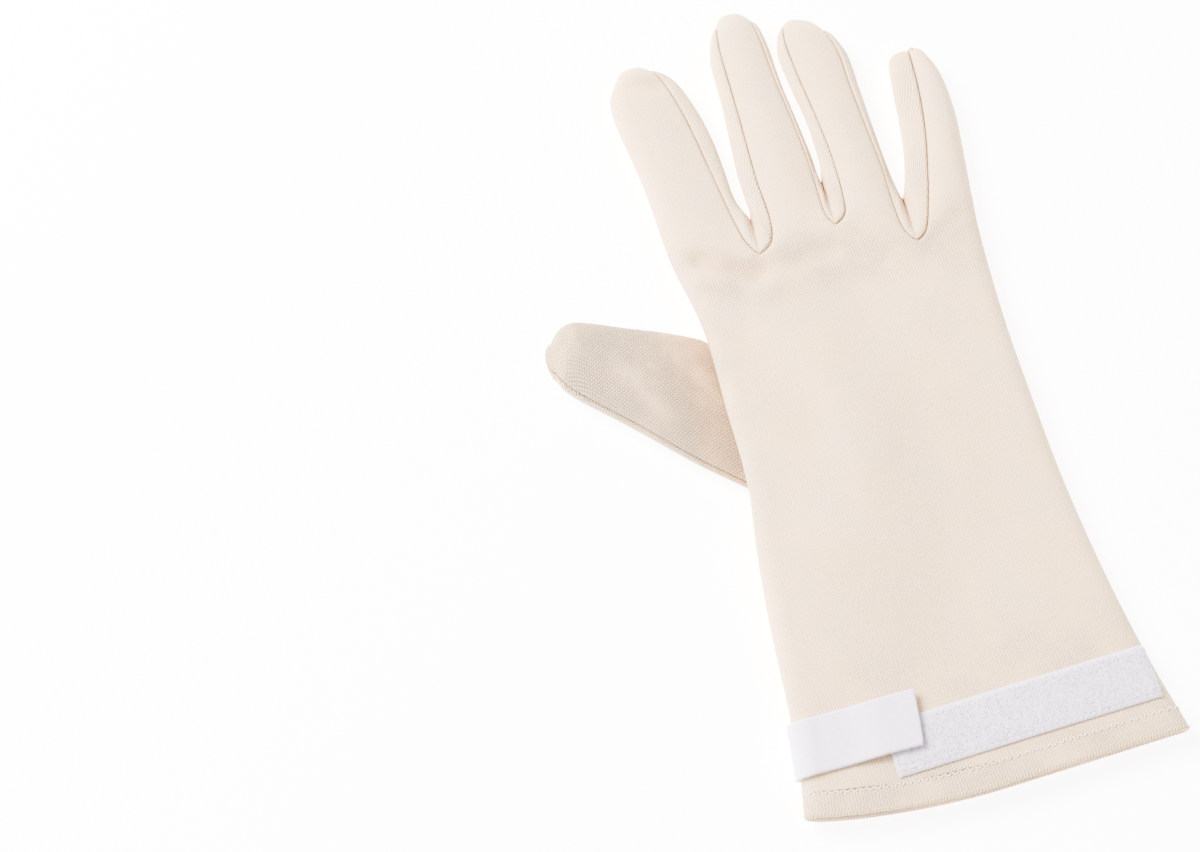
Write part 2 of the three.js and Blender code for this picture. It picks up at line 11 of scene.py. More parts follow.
import bmesh
import bpy
from mathutils import Matrix, Vector, kdtree, noise


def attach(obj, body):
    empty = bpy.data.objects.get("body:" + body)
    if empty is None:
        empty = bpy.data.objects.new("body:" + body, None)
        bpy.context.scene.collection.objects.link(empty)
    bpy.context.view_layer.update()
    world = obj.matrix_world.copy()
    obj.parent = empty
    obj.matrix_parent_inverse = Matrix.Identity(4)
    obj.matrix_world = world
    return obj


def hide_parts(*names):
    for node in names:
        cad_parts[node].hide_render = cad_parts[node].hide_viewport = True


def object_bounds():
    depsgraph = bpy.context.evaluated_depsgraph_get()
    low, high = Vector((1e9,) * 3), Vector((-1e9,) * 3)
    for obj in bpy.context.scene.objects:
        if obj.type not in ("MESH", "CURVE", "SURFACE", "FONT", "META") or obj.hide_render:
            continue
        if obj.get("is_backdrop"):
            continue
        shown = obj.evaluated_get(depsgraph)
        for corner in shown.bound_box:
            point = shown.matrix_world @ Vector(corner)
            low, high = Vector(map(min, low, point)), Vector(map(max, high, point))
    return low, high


bl_info = {
    "name": "Glove Liner",
    "version": (1, 0, 0),
    "blender": (4, 5, 0),
    "location": "3D View > Sidebar > Glove Liner",
    "description": "Cotton glove liner with fourchettes, a turned hem and a hook-and-loop closure",
    "category": "Add Mesh",
}

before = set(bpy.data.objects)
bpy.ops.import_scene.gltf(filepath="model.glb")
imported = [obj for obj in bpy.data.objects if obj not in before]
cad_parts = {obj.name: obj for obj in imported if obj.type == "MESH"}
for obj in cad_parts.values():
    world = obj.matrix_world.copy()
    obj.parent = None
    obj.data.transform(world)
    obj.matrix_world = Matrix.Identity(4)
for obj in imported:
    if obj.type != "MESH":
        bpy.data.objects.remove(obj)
CAD_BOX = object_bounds()

MM = 0.001
MIDDLE = Vector((-15.3, 157.74, 0.0))  # the point of the surface below the middle of the outline
TO_ROW = Matrix.Scale(MM, 4) @ Matrix.Translation(-MIDDLE)

# Sizes of the cloth, the same as in the part's source
HEM_DEPTH = 8
HEM_THICK = 2.4
SIDE_ROUND = 6.5
SIDE_SEAM_INSET = 10
CROWN_DROP = 1.0
FINGER_SEAM_Z = 8.0
FINGER_CROWN = 1.9
PALM_SEAM_Z = 0.9
PALM_SEAM_INSET = 3.8
FINGER_SIDE_Z = 4.7
TIP_Z = 4.0
TIP_START = 0.88
TAPE_GAP = 0.4
LOOP_THICK = 1.5
HOOK_THICK = 1.0
TAPE_WIDTH = 20
TURN_LENGTH = 1.3 * SIDE_ROUND

# Hand and cuff: left and right side, and the height of the back in the middle, at places along the glove
HandRow = namedtuple("HandRow", "y left right back")
HAND = [
    (-4, -71.5, 71.5, 10.0),
    (8, -70.0, 69.6, 10.0),
    (24, -66.2, 67.0, 10.1),
    (50, -62.2, 64.0, 10.2),
    (80, -58.8, 62.0, 10.3),
    (105, -55.2, 61.3, 10.4),
    (130, -50.4, 61.7, 10.6),
    (160, -48.6, 62.6, 10.6),
    (190, -46.8, 65.0, 10.4),
    (215, -48.9, 68.0, 10.0),
]
HAND = [HandRow(*row) for row in HAND]

# X and Y along the sides of the two outer fingers, which are folded and not sewn, from knuckle to tip
FOLDS = {
    "index": [
        (-48.9, 214.0),
        (-49.3, 223.0),
        (-49.3, 235.0),
        (-49.2, 252.0),
        (-50.1, 268.0),
        (-51.4, 284.0),
        (-50.6, 295.0),
        (-45.5, 303.0),
    ],
    "little": [
        (66.6, 205.0),
        (68.2, 214.0),
        (70.2, 225.0),
        (72.4, 237.0),
        (74.3, 249.0),
        (75.0, 260.0),
        (74.4, 270.0),
        (71.0, 279.6),
    ],
}

# Sides with a fourchette, from the web to the tip: the seam on the back, and the finger's outermost line
WebRow = namedtuple("WebRow", "seam_x seam_y out_x out_y")
WEBS = {
    ("index_middle", "left"): [
        (-17.1, 215.1, -14.8, 232.7),
        (-20.2, 221.5, -16.6, 236.5),
        (-21.6, 233.5, -18.0, 243.0),
        (-23.3, 253.5, -17.8, 256.0),
        (-24.6, 270.0, -18.3, 270.0),
        (-26.2, 283.0, -20.3, 283.0),
        (-29.0, 296.0, -24.0, 295.5),
        (-32.5, 303.0, -30.0, 302.3),
    ],
    ("index_middle", "right"): [
        (-17.1, 215.1, -14.8, 232.7),
        (-11.2, 219.0, -14.0, 236.0),
        (-8.2, 229.0, -14.0, 242.0),
        (-7.8, 246.0, -13.6, 252.0),
        (-6.6, 262.0, -12.0, 265.0),
        (-5.2, 281.0, -10.0, 282.0),
        (-4.0, 301.0, -8.6, 299.0),
        (-2.0, 312.8, -4.2, 311.8),
    ],
    ("middle_ring", "left"): [
        (14.4, 218.6, 15.8, 238.6),
        (12.2, 223.5, 15.4, 242.0),
        (12.6, 233.0, 15.6, 247.0),
        (13.4, 248.0, 15.6, 254.0),
        (13.2, 264.0, 15.2, 266.0),
        (12.4, 283.0, 14.6, 283.0),
        (12.4, 300.0, 14.9, 299.0),
        (11.6, 312.0, 13.9, 311.0),
    ],
    ("middle_ring", "right"): [
        (14.4, 218.6, 15.8, 238.6),
        (19.3, 222.0, 16.8, 242.0),
        (21.4, 231.0, 17.8, 247.0),
        (22.5, 246.0, 18.4, 255.0),
        (22.4, 262.0, 18.6, 266.0),
        (21.5, 281.0, 17.6, 281.0),
        (21.2, 297.0, 17.4, 295.0),
        (22.8, 305.5, 20.6, 304.6),
    ],
    ("ring_little", "left"): [
        (41.5, 203.2, 42.9, 222.9),
        (38.3, 209.0, 42.2, 227.0),
        (38.2, 220.0, 41.9, 233.0),
        (39.3, 236.0, 41.9, 243.0),
        (39.2, 253.0, 42.2, 256.0),
        (39.1, 272.0, 42.7, 272.0),
        (39.4, 288.0, 43.0, 287.0),
        (37.0, 299.8, 39.4, 299.2),
    ],
    ("ring_little", "right"): [
        (41.5, 203.2, 42.9, 222.9),
        (46.5, 206.8, 44.6, 226.0),
        (51.4, 218.0, 47.4, 233.0),
        (56.0, 231.5, 50.6, 244.0),
        (60.3, 246.0, 52.8, 256.0),
        (63.6, 262.0, 54.9, 268.5),
        (65.0, 273.5, 57.3, 278.9),
        (65.5, 281.2, 62.1, 282.1),
    ],
}
WEBS = {side: [WebRow(*row) for row in rows] for side, rows in WEBS.items()}
WEB_NAMES = ("index_middle", "middle_ring", "ring_little")
OTHER = {"left": "right", "right": "left"}
WEB_ROUND = 0.45  # how far a seam runs on from the other side of its web, 0 for a pointed web

# The oval in the palm that the thumb is let into, and the pads of palm that lie on something
Oval = namedtuple("Oval", "x y half_length half_width tilt")
OVAL = Oval(-31, 134, 36, 14.5, math.radians(8.5))
THUMB_LIFT = 7.6
BACK_SHARE = 0.7
BACK_SPREAD = 1.8
Pad = namedtuple("Pad", "x y rx ry height fade")
PADS = [
    Pad(-33, 136, 21, 42, THUMB_LIFT, 20),
    Pad(-47, 161, 15, 36, THUMB_LIFT, 16),
    Pad(-62, 31.5, 31, 20, TAPE_GAP + HOOK_THICK, 12),
]

# Thumb: its lower and upper edge and its height, from the hand's side to the tip
ThumbRow = namedtuple("ThumbRow", "low_x low_y high_x high_y top")
THUMB = [
    (-49.6, 131.0, -47.6, 191.5, 7.1),
    (-56.0, 137.0, -54.0, 195.0, 7.9),
    (-63.7, 144.3, -62.0, 198.8, 9.2),
    (-72.0, 153.3, -70.5, 202.6, 9.9),
    (-80.5, 163.0, -79.0, 206.5, 9.9),
    (-89.0, 172.0, -87.0, 210.3, 9.6),
    (-96.3, 179.8, -92.6, 212.0, 9.2),
    (-101.6, 186.6, -97.8, 210.4, 8.6),
    (-104.2, 192.5, -101.8, 206.5, 7.4),
]
THUMB = [ThumbRow(*row) for row in THUMB]
THUMB_END = (-105.6, 199.5)
THUMB_BOX = 2.6
THUMB_NECK_Z = 7.0

# Closure
LOOP_LEFT, LOOP_RIGHT, LOOP_Y = -34, 64.6, 21.2
HOOK_PALM_END, HOOK_BACK_END, HOOK_Y, HOOK_SLOPE = -25, 46.5, 31.4, -0.04
HOOK_CLIMB = (19, 33.5)
HOOK_EASE = (0.9, 3, 9)  # height, middle and reach

# Soft forms of the back, in millimetres: a trough or ridge along a line, with its height and half width
Crease = namedtuple("Crease", "x0 y0 x1 y1 height width")
CREASES = [
    (-50, 232, -39, 219, -1.2, 4.5),
    (-39, 219, -20, 207, -1.9, 4.2),
    (-20, 207, 17, 210, -0.9, 4.2),
    (-42, 211, -20, 200, 1.2, 5.0),
    (-20, 200, 12, 203, 0.7, 5.5),
    (48, 203, 60, 209, -0.7, 4.0),
    (-38, 182, -22, 144, -1.0, 9.0),
    (-24, 84, -10, 62, -0.9, 11.0),
    (-14, 168, -4, 128, 0.7, 10.0),
    (10, 150, 34, 178, 0.7, 14.0),
    (-43, 297, -32, 294, -0.9, 3.2),
    (-8, 60, -28, 104, 0.7, 10.0),
    (30, 90, 40, 130, -0.6, 12.0),
    (2, 268, 4, 240, 0.35, 5.0),
    (28, 262, 31, 236, 0.35, 5.0),
]
CREASES = [Crease(*row) for row in CREASES]

# What a point of cloth carries, and where each piece lies in the knit's noise, so that no two look alike
# Of the shares, seam paints shade along the seams and joints, and the share after it paints warm shade in
# folds, pockets, beside seams and under the hand
Place = namedtuple("Place", "point knit seam warm ribs wall", defaults=(1.0, 1.0))
SHARES = ("seam", "warm", "ribs", "wall")
PALM_KNIT, FOURCHETTE_KNIT, THUMB_KNIT, LOOP_KNIT, HOOK_KNIT = 20.0, 40.0, 60.0, 80.0, 95.0
SEAM_ROLL = 1.25  # how far from a seam the cloth starts to roll down
THIN_WALL = 0.1  # the share of the cloth's thickness that is left at a fingertip


def lerp(a, b, share):
    return a + (b - a) * share


def clamp(value, low=0.0, high=1.0):
    return max(low, min(high, value))


def smooth(value, start, end):
    """0 before start, 1 after end, and a smooth step between them."""
    share = clamp((value - start) / (end - start))
    return share * share * (3 - 2 * share)


def hill(distance, width):
    """1 at distance 0, falling away over about the width."""
    return math.exp(-((distance / width) ** 2))


def evenly(count):
    return [i / count for i in range(count + 1)]


def run_of(points):
    """How far along the line through the points each of them lies."""
    run = [0.0]
    for a, b in zip(points, points[1:]):
        run.append(run[-1] + (b - a).length)
    return run


def hand_at(column, y):
    """The value of a column of HAND at a place along the glove, with the rows joined smoothly."""
    i = next((k for k, row in enumerate(HAND) if row.y > y), len(HAND))
    i = min(max(i, 1), len(HAND) - 1) - 1

    def slope(k):
        start, end = HAND[max(k - 1, 0)], HAND[min(k + 1, len(HAND) - 1)]
        return (getattr(end, column) - getattr(start, column)) / (end.y - start.y)

    start = getattr(HAND[i], column)
    rise = getattr(HAND[i + 1], column) - start
    span = HAND[i + 1].y - HAND[i].y
    t = clamp((y - HAND[i].y) / span)
    bend = (1 - t) * (slope(i) * span - rise) - t * (slope(i + 1) * span - rise)
    return start + rise * t + t * (1 - t) * bend


def sides_at(y):
    """X of the hand's left and right side."""
    return hand_at("left", y), hand_at("right", y)


def palm_z(x, y, spread=1.0):
    """How high the palm lies over what is under it."""
    lift = 0.0
    for pad in PADS:
        reach = math.hypot((x - pad.x) / pad.rx, (y - pad.y) / pad.ry) - 1
        outside = reach * min(pad.rx, pad.ry)
        lift = max(lift, pad.height * (1 - smooth(outside, 0, spread * pad.fade)))
    return lift


def crease_at(crease, x, y):
    """What a crease adds to the height of a place."""
    ax, ay = crease.x1 - crease.x0, crease.y1 - crease.y0
    share = clamp(((x - crease.x0) * ax + (y - crease.y0) * ay) / (ax * ax + ay * ay))
    away = math.hypot(x - crease.x0 - share * ax, y - crease.y0 - share * ay)
    return crease.height * hill(away, crease.width)


def relief(x, y):
    """The soft troughs and ridges of cloth that has been worn and laid down, apart from its main shape."""
    height = sum(crease_at(crease, x, y) for crease in CREASES)
    height += 0.3 * noise.noise(Vector((x / 34, y / 46, 3.1)))
    height += 0.12 * noise.noise(Vector((x / 11, y / 14, 7.7)))
    return height


def back_z(x, y):
    left, right = sides_at(y)
    across = clamp((2 * x - left - right) / (right - left), -1, 1)
    return hand_at("back", y) - CROWN_DROP * across**2 + BACK_SHARE * palm_z(x, y, BACK_SPREAD)


def hem_edge_y(x):
    """The hem's edge rises towards the thumb's side."""
    return -1.6 + 0.0017 * max(0, 5 - x) ** 2


def curve(points, share, lead=None):
    """A point of the smooth curve through the points. The lead is a point before the first."""
    place = clamp(share) * (len(points) - 1)
    i = min(int(place), len(points) - 2)
    t = place - i
    before = points[i - 1] if i else lead or points[0]
    start, end = points[i], points[i + 1]
    after = points[min(i + 2, len(points) - 1)]
    leave, arrive = (end - before) / 2, (after - start) / 2
    cubic = (2 * start - 2 * end + leave + arrive) * t**3
    return cubic + (3 * end - 3 * start - 2 * leave - arrive) * t**2 + leave * t + start


def line(knuckle, finger_curve):
    """A line from the cuff to a fingertip: station 0 is the hem's stitching, 1 the knuckle, 2 the tip."""
    left, right = sides_at(knuckle.y)
    share = (knuckle.x - left) / (right - left)
    edge_y = hem_edge_y(lerp(*sides_at(0), share))

    def point(station):
        if station > 1:
            return finger_curve(station - 1)
        y = lerp(edge_y + HEM_DEPTH, knuckle.y, station)
        return Vector((lerp(*sides_at(y), share), y))

    return point


def fold_line(finger):
    points = [Vector(row) for row in FOLDS[finger]]
    return lambda face: line(points[0], lambda t: curve(points, t))


def seam_line(web, side):
    """The seam of one side of a web, for the back, face 1, or the palm, face -1."""
    rows = WEBS[web, side]
    inward = -1 if side == "left" else 1
    back = [Vector((row.seam_x, row.seam_y)) for row in rows]
    palm = [Vector((row.out_x + inward * PALM_SEAM_INSET, row.seam_y)) for row in rows]
    palm[0], palm[-1] = back[0], back[-1]
    other = WEBS[web, OTHER[side]][1]
    lead = back[0].lerp(Vector((other.seam_x, other.seam_y)), WEB_ROUND)
    return lambda face: line(back[0], lambda t: curve(back if face > 0 else palm, t, lead))


Strip = namedtuple("Strip", "finger left right fold bulge")
STRIPS = [
    Strip("index", fold_line("index"), seam_line("index_middle", "left"), -1, 3.2),
    Strip("middle", seam_line("index_middle", "right"), seam_line("middle_ring", "left"), 0, 4.8),
    Strip("ring", seam_line("middle_ring", "right"), seam_line("ring_little", "left"), 0, 4.2),
    Strip("little", seam_line("ring_little", "right"), fold_line("little"), 1, 0.8),
]

# Places of the columns beside a seam, where the cloth rolls down to the stitches, and the rows' stations
SEAM_COLUMNS = (0.0, 0.28, 0.65, 1.2)
TURN_COLUMNS = 7
FLAT_COLUMNS = 15
HAND_LENGTH = 207
hand_stations = [away / HAND_LENGTH for away in SEAM_COLUMNS]
hand_stations += [lerp(2.4, HAND_LENGTH - 2.4, share) / HAND_LENGTH for share in evenly(94)]
hand_stations += [1 - away / HAND_LENGTH for away in reversed(SEAM_COLUMNS)]
finger_stations = [0.004, 0.009, 0.016, 0.026]
finger_stations += [lerp(0.038, TIP_START, share) for share in evenly(58)]
finger_stations += [lerp(TIP_START, 1, math.sin(share * math.pi / 2)) for share in evenly(12)[1:]]


def near_tip(station):
    return clamp((station - 1 - TIP_START) / (1 - TIP_START))


def openness(station):
    """How far the finger is open at a station, from 1 down to 0 at the fingertip."""
    return math.sqrt(max(0.0, 1 - near_tip(station) ** 3))


def side_turn(width):
    """How wide the turn at a finger's or the hand's side is, and how far in its seam lies."""
    turn = min(SIDE_ROUND, 0.4 * width)
    return turn, max(min(SIDE_SEAM_INSET, 0.65 * width), turn + 1.6)


def columns_of(strip, width):
    """How far each column lies from the strip's left line, and how far the cloth has turned there."""
    beside = list(SEAM_COLUMNS)
    if not strip.fold:
        middle = [lerp(beside[-1], width - beside[-1], share) for share in evenly(FLAT_COLUMNS + 5)[1:-1]]
        return [(at, 1.0) for at in beside + middle + [width - at for at in reversed(beside)]]
    turn, inset = side_turn(width)
    columns = []
    for share in evenly(TURN_COLUMNS):
        angle = share * math.pi / 2
        columns.append((turn * (1 - math.cos(angle)), math.sin(angle)))
    columns += [(inset - at, 1.0) for at in reversed(SEAM_COLUMNS[1:])]
    columns += [(inset + at, 1.0) for at in SEAM_COLUMNS]
    start, end = inset + beside[-1], width - beside[-1]
    columns += [(lerp(start, end, share), 1.0) for share in evenly(FLAT_COLUMNS)[1:-1]]
    columns += [(width - at, 1.0) for at in reversed(beside)]
    if strip.fold < 0:
        return columns
    return [(width - at, turned) for at, turned in reversed(columns)]


def seam_points(face):
    """Points along every seam of the back or the palm, seen from above."""
    points = []
    for web, side in WEBS:
        seam = seam_line(web, side)(face)
        points += [seam(1 + share) for share in evenly(420)]
    if face < 0:
        side_line = STRIPS[-1].right(face)
        inner_line = STRIPS[-1].left(face)
        for share in evenly(900):
            station = lerp(0, 1.97, share)
            edge, other = side_line(station), inner_line(station)
            width = (edge - other).length
            points.append(edge.lerp(other, side_turn(width)[1] / width))
        points += [oval_point(2 * math.pi * share) for share in evenly(500)]
    return points


def oval_point(angle, grow=0.0):
    along = (OVAL.half_length + grow) * math.cos(angle)
    across = (OVAL.half_width + grow) * math.sin(angle)
    x = OVAL.x - across * math.cos(OVAL.tilt) + along * math.sin(OVAL.tilt)
    return Vector((x, OVAL.y + across * math.sin(OVAL.tilt) + along * math.cos(OVAL.tilt)))


def tree_of(points):
    tree = kdtree.KDTree(len(points))
    for i, point in enumerate(points):
        tree.insert(point.to_3d(), i)
    tree.balance()
    return tree


def roll(distance, width, depth):
    """How deep the cloth lies so far from a seam, where it rolls down to the stitches."""
    if distance >= width:
        return 0.0
    return depth * (1 - math.sqrt(1 - (1 - distance / width) ** 2))


def square_off(surface, u, v, depth, step):
    """A point of the surface, moved inwards at right angles to it."""
    across = surface(u + step, v) - surface(u - step, v)
    along = surface(u, v + step) - surface(u, v - step)
    return surface(u, v) - across.cross(along).normalized() * depth


# Building


def new_cloth():
    """A mesh in the making, whose points carry what a Place holds."""
    bm = bmesh.new()
    bm.verts.layers.float_vector.new("knit")
    for name in SHARES:
        bm.verts.layers.float.new(name)
    return bm


def add_grid(bm, columns, rows, place, turned_over=False):
    """Adds a grid whose points go where place(column, row) says."""
    layers = {name: bm.verts.layers.float[name] for name in SHARES}
    layers["knit"] = bm.verts.layers.float_vector["knit"]
    made = bmesh.ops.create_grid(bm, x_segments=columns, y_segments=rows, size=0.5)["verts"]
    for vert in made:
        put = place(round((vert.co.x + 0.5) * columns), round((vert.co.y + 0.5) * rows))
        vert.co = put.point
        for name, layer in layers.items():
            vert[layer] = getattr(put, name)
    if turned_over:
        faces = {face for vert in made for face in vert.link_faces}
        bmesh.ops.reverse_faces(bm, faces=list(faces))
    return made


def mesh_of(bm, name):
    mesh = bpy.data.meshes.new(name)
    bm.to_mesh(mesh)
    bm.free()
    return mesh


def add_object(name, data):
    thing = bpy.data.objects.new(name, data)
    bpy.context.scene.collection.objects.link(thing)
    return thing


def make_piece(bm, name, material, nodes=(), thickness=0.0, merge=0.02):
    """Finishes a mesh as a piece of the glove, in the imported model's frame."""
    if merge:
        bmesh.ops.remove_doubles(bm, verts=bm.verts, dist=merge)
    bmesh.ops.transform(bm, matrix=TO_ROW, verts=bm.verts)
    mesh = mesh_of(bm, name)
    mesh.shade_smooth()
    mesh.materials.append(material)
    piece = add_object(name, mesh)
    if thickness:
        group = piece.vertex_groups.new(name="wall")
        for index, share in enumerate(mesh.attributes["wall"].data):
            group.add([index], share.value, "REPLACE")
        wall = piece.modifiers.new("Wall", "SOLIDIFY")
        wall.thickness = thickness
        wall.offset = -1
        wall.vertex_group = group.name
    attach(piece, "root")
    if nodes:
        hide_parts(*nodes)
    return piece


# Materials


class Nodes:
    """Adds shader nodes to a tree, each call one node, and returns its first output."""

    def __init__(self, tree):
        self.tree = tree

    def add(self, kind, **settings):
        node = self.tree.nodes.new(kind)
        for key, value in settings.items():
            setattr(node, key, value)
        return node

    def feed(self, node, values):
        for socket, value in values.items():
            target = node.inputs[socket]
            if isinstance(value, bpy.types.NodeSocket):
                self.tree.links.new(value, target)
            else:
                target.default_value = value
        return node

    def math(self, operation, *values):
        node = self.add("ShaderNodeMath", operation=operation)
        return self.feed(node, dict(enumerate(values))).outputs[0]

    def times(self, a, b):
        return self.math("MULTIPLY", a, b)

    def wave(self, turns):
        """A sine wave over a number of whole turns."""
        return self.math("SINE", self.times(turns, 2 * math.pi))

    def mix(self, factor, a, b, blend="MIX"):
        node = self.add("ShaderNodeMix", data_type="RGBA", blend_type=blend)
        return self.feed(node, {0: factor, 6: a, 7: b}).outputs[2]

    def noise(self, vector, scale, detail, roughness=0.5):
        node = self.add("ShaderNodeTexNoise")
        values = {"Vector": vector, "Scale": scale, "Detail": detail, "Roughness": roughness}
        return self.feed(node, values).outputs[0]

    def cells(self, vector, scale):
        node = self.add("ShaderNodeTexVoronoi", feature="F1")
        return self.feed(node, {"Vector": vector, "Scale": scale}).outputs["Distance"]

    def ramp(self, value, low, high, start=0.0, end=1.0):
        node = self.add("ShaderNodeMapRange", interpolation_type="SMOOTHSTEP")
        return self.feed(node, dict(enumerate((value, low, high, start, end)))).outputs[0]

    def attribute(self, name):
        return self.add("ShaderNodeAttribute", attribute_name=name)

    def bump(self, height, depth, strength=1.0):
        """A normal with a bump, whose height of 1 stands for a depth in millimetres."""
        values = {"Strength": strength, "Distance": depth * MM, "Height": height}
        return self.feed(self.add("ShaderNodeBump"), values).outputs["Normal"]

    def group(self, name, build, values):
        """The outputs of a new node of the named group, which is built when it isn't there yet."""
        tree = bpy.data.node_groups.get(name) or build()
        return self.feed(self.add("ShaderNodeGroup", node_tree=tree), values).outputs


def node_group(name, inputs, outputs):
    """A new shader node group with named sockets: its Nodes, what it is given, and its output node."""
    tree = bpy.data.node_groups.new(name, "ShaderNodeTree")
    for label, kind in inputs:
        tree.interface.new_socket(label, in_out="INPUT", socket_type=kind)
    for label, kind in outputs:
        tree.interface.new_socket(label, in_out="OUTPUT", socket_type=kind)
    nodes = Nodes(tree)
    given = nodes.add("NodeGroupInput").outputs
    return nodes, given, nodes.add("NodeGroupOutput")


NUMBER, COLOR, VECTOR = "NodeSocketFloat", "NodeSocketColor", "NodeSocketVector"


def knit_group():
    """Columns of slanted, slightly uneven knitted loops, under a nap of fine fibre."""
    inputs = [
        ("Place", VECTOR),
        ("Wale Pitch", NUMBER),
        ("Course Pitch", NUMBER),
        ("Course Depth", NUMBER),
        ("Ribs", NUMBER),
        ("Nap", NUMBER),
    ]
    nodes, given, output = node_group("Knitted Stitches", inputs, [("Height", NUMBER), ("Hollow", NUMBER)])
    wander = nodes.noise(given["Place"], 0.16, 3.0)
    split = nodes.feed(nodes.add("ShaderNodeSeparateXYZ"), {0: given["Place"]})
    pushed = nodes.math("MULTIPLY_ADD", wander, 0.9, split.outputs[0])
    across = nodes.math("DIVIDE", pushed, given["Wale Pitch"])
    side = nodes.math("ABSOLUTE", nodes.math("SUBTRACT", nodes.math("FRACT", across), 0.5))
    wale = nodes.math("SUBTRACT", 1.0, nodes.times(nodes.times(side, side), 4.0))
    turn = nodes.math("DIVIDE", split.outputs[1], given["Course Pitch"])
    slanted = nodes.math("MULTIPLY_ADD", side, 1.3, turn)
    stagger = nodes.times(nodes.math("FLOOR", across), 0.5)
    course = nodes.wave(nodes.math("ADD", slanted, stagger))
    knit = nodes.math("MULTIPLY_ADD", course, given["Course Depth"], wale)
    patchy = nodes.ramp(nodes.noise(given["Place"], 0.05, 3.0), 0.3, 0.65, 0.3, 1.0)
    patchy = nodes.times(patchy, given["Ribs"])
    nap = nodes.noise(given["Place"], 1.1, 5.0, 0.7)
    height = nodes.math("MULTIPLY_ADD", nap, given["Nap"], nodes.times(knit, patchy))
    # The hollows between the wales, which the colour darkens as painted shade
    hollow = nodes.times(nodes.math("SUBTRACT", 1.0, wale), patchy)
    nodes.feed(output, {"Height": height, "Hollow": hollow})
    return nodes.tree


def cotton_colour_group():
    """Unbleached cotton: soft mottling and a few seed flecks, with painted shade in the knit's hollows and
    along the seams, and painted warm shade in the folds, pockets and other sheltered places.
    """
    inputs = [
        ("Place", VECTOR),
        ("Cotton", COLOR),
        ("Seam Thread", COLOR),
        ("Warm Shade", COLOR),
        ("Seam", NUMBER),
        ("Warmth", NUMBER),
        ("Hollow", NUMBER),
    ]
    nodes, given, output = node_group("Cotton Colour", inputs, [("Color", COLOR)])
    cloudy = nodes.ramp(nodes.noise(given["Place"], 0.05, 4.0), 0.35, 0.7)
    pale = nodes.mix(nodes.times(cloudy, 0.16), given["Cotton"], (0.93, 0.87, 0.83, 1.0))
    fibres = nodes.ramp(nodes.noise(given["Place"], 1.3, 5.0, 0.75), 0.3, 0.75, 0.8, 1.06)
    shaded = nodes.mix(1.0, pale, fibres, "MULTIPLY")
    # Painted shade in the hollows between the wales
    rib = nodes.math("MULTIPLY_ADD", given["Hollow"], -0.15, 1.0)
    shaded = nodes.mix(1.0, shaded, rib, "MULTIPLY")
    seeds = nodes.ramp(nodes.cells(given["Place"], 0.14), 0.035, 0.06, 1.0, 0.0)
    sparse = nodes.ramp(nodes.noise(given["Place"], 0.09, 1.0), 0.56, 0.62)
    flecks = nodes.times(nodes.times(seeds, sparse), 0.35)
    shaded = nodes.mix(flecks, shaded, (0.3, 0.2, 0.13, 1))
    # Painted warm shade, multiplied in by its share
    with_painted_shade = nodes.mix(given["Warmth"], shaded, given["Warm Shade"], "MULTIPLY")
    # Painted shade along the seams, broken up by noise
    broken = nodes.ramp(nodes.noise(given["Place"], 0.5, 2.0), 0.3, 0.62, 0.75, 1.0)
    thread = nodes.times(nodes.math("POWER", given["Seam"], 1.25), broken)
    nodes.feed(output, {"Color": nodes.mix(thread, with_painted_shade, given["Seam Thread"])})
    return nodes.tree


def tape_group():
    """Woven tape: fine ribs across, small weft threads along, and slight unevenness of colour."""
    inputs = [("Place", VECTOR), ("Tape", COLOR), ("Rib Pitch", NUMBER), ("Grain", NUMBER)]
    nodes, given, output = node_group("Woven Tape", inputs, [("Color", COLOR), ("Height", NUMBER)])
    split = nodes.feed(nodes.add("ShaderNodeSeparateXYZ"), {0: given["Place"]})
    turns = [nodes.math("DIVIDE", split.outputs[k], given["Rib Pitch"]) for k in (0, 1)]
    weave = nodes.times(nodes.wave(turns[0]), nodes.wave(turns[1]))
    grain = nodes.noise(given["Place"], 1.3, 4.0, 0.6)
    height = nodes.math("MULTIPLY_ADD", grain, given["Grain"], nodes.times(weave, 0.5))
    mottle = nodes.ramp(nodes.noise(given["Place"], 0.6, 4.0, 0.6), 0.3, 0.7, 0.93, 1.03)
    nodes.feed(output, {"Height": height, "Color": nodes.mix(1.0, given["Tape"], mottle, "MULTIPLY")})
    return nodes.tree


def new_material(name):
    material = bpy.data.materials.new(name)
    material.use_nodes = True
    material.node_tree.nodes.clear()
    nodes = Nodes(material.node_tree)
    surface = nodes.add("ShaderNodeBsdfPrincipled")
    output = nodes.add("ShaderNodeOutputMaterial")
    material.node_tree.links.new(surface.outputs[0], output.inputs[0])
    return material, nodes, surface


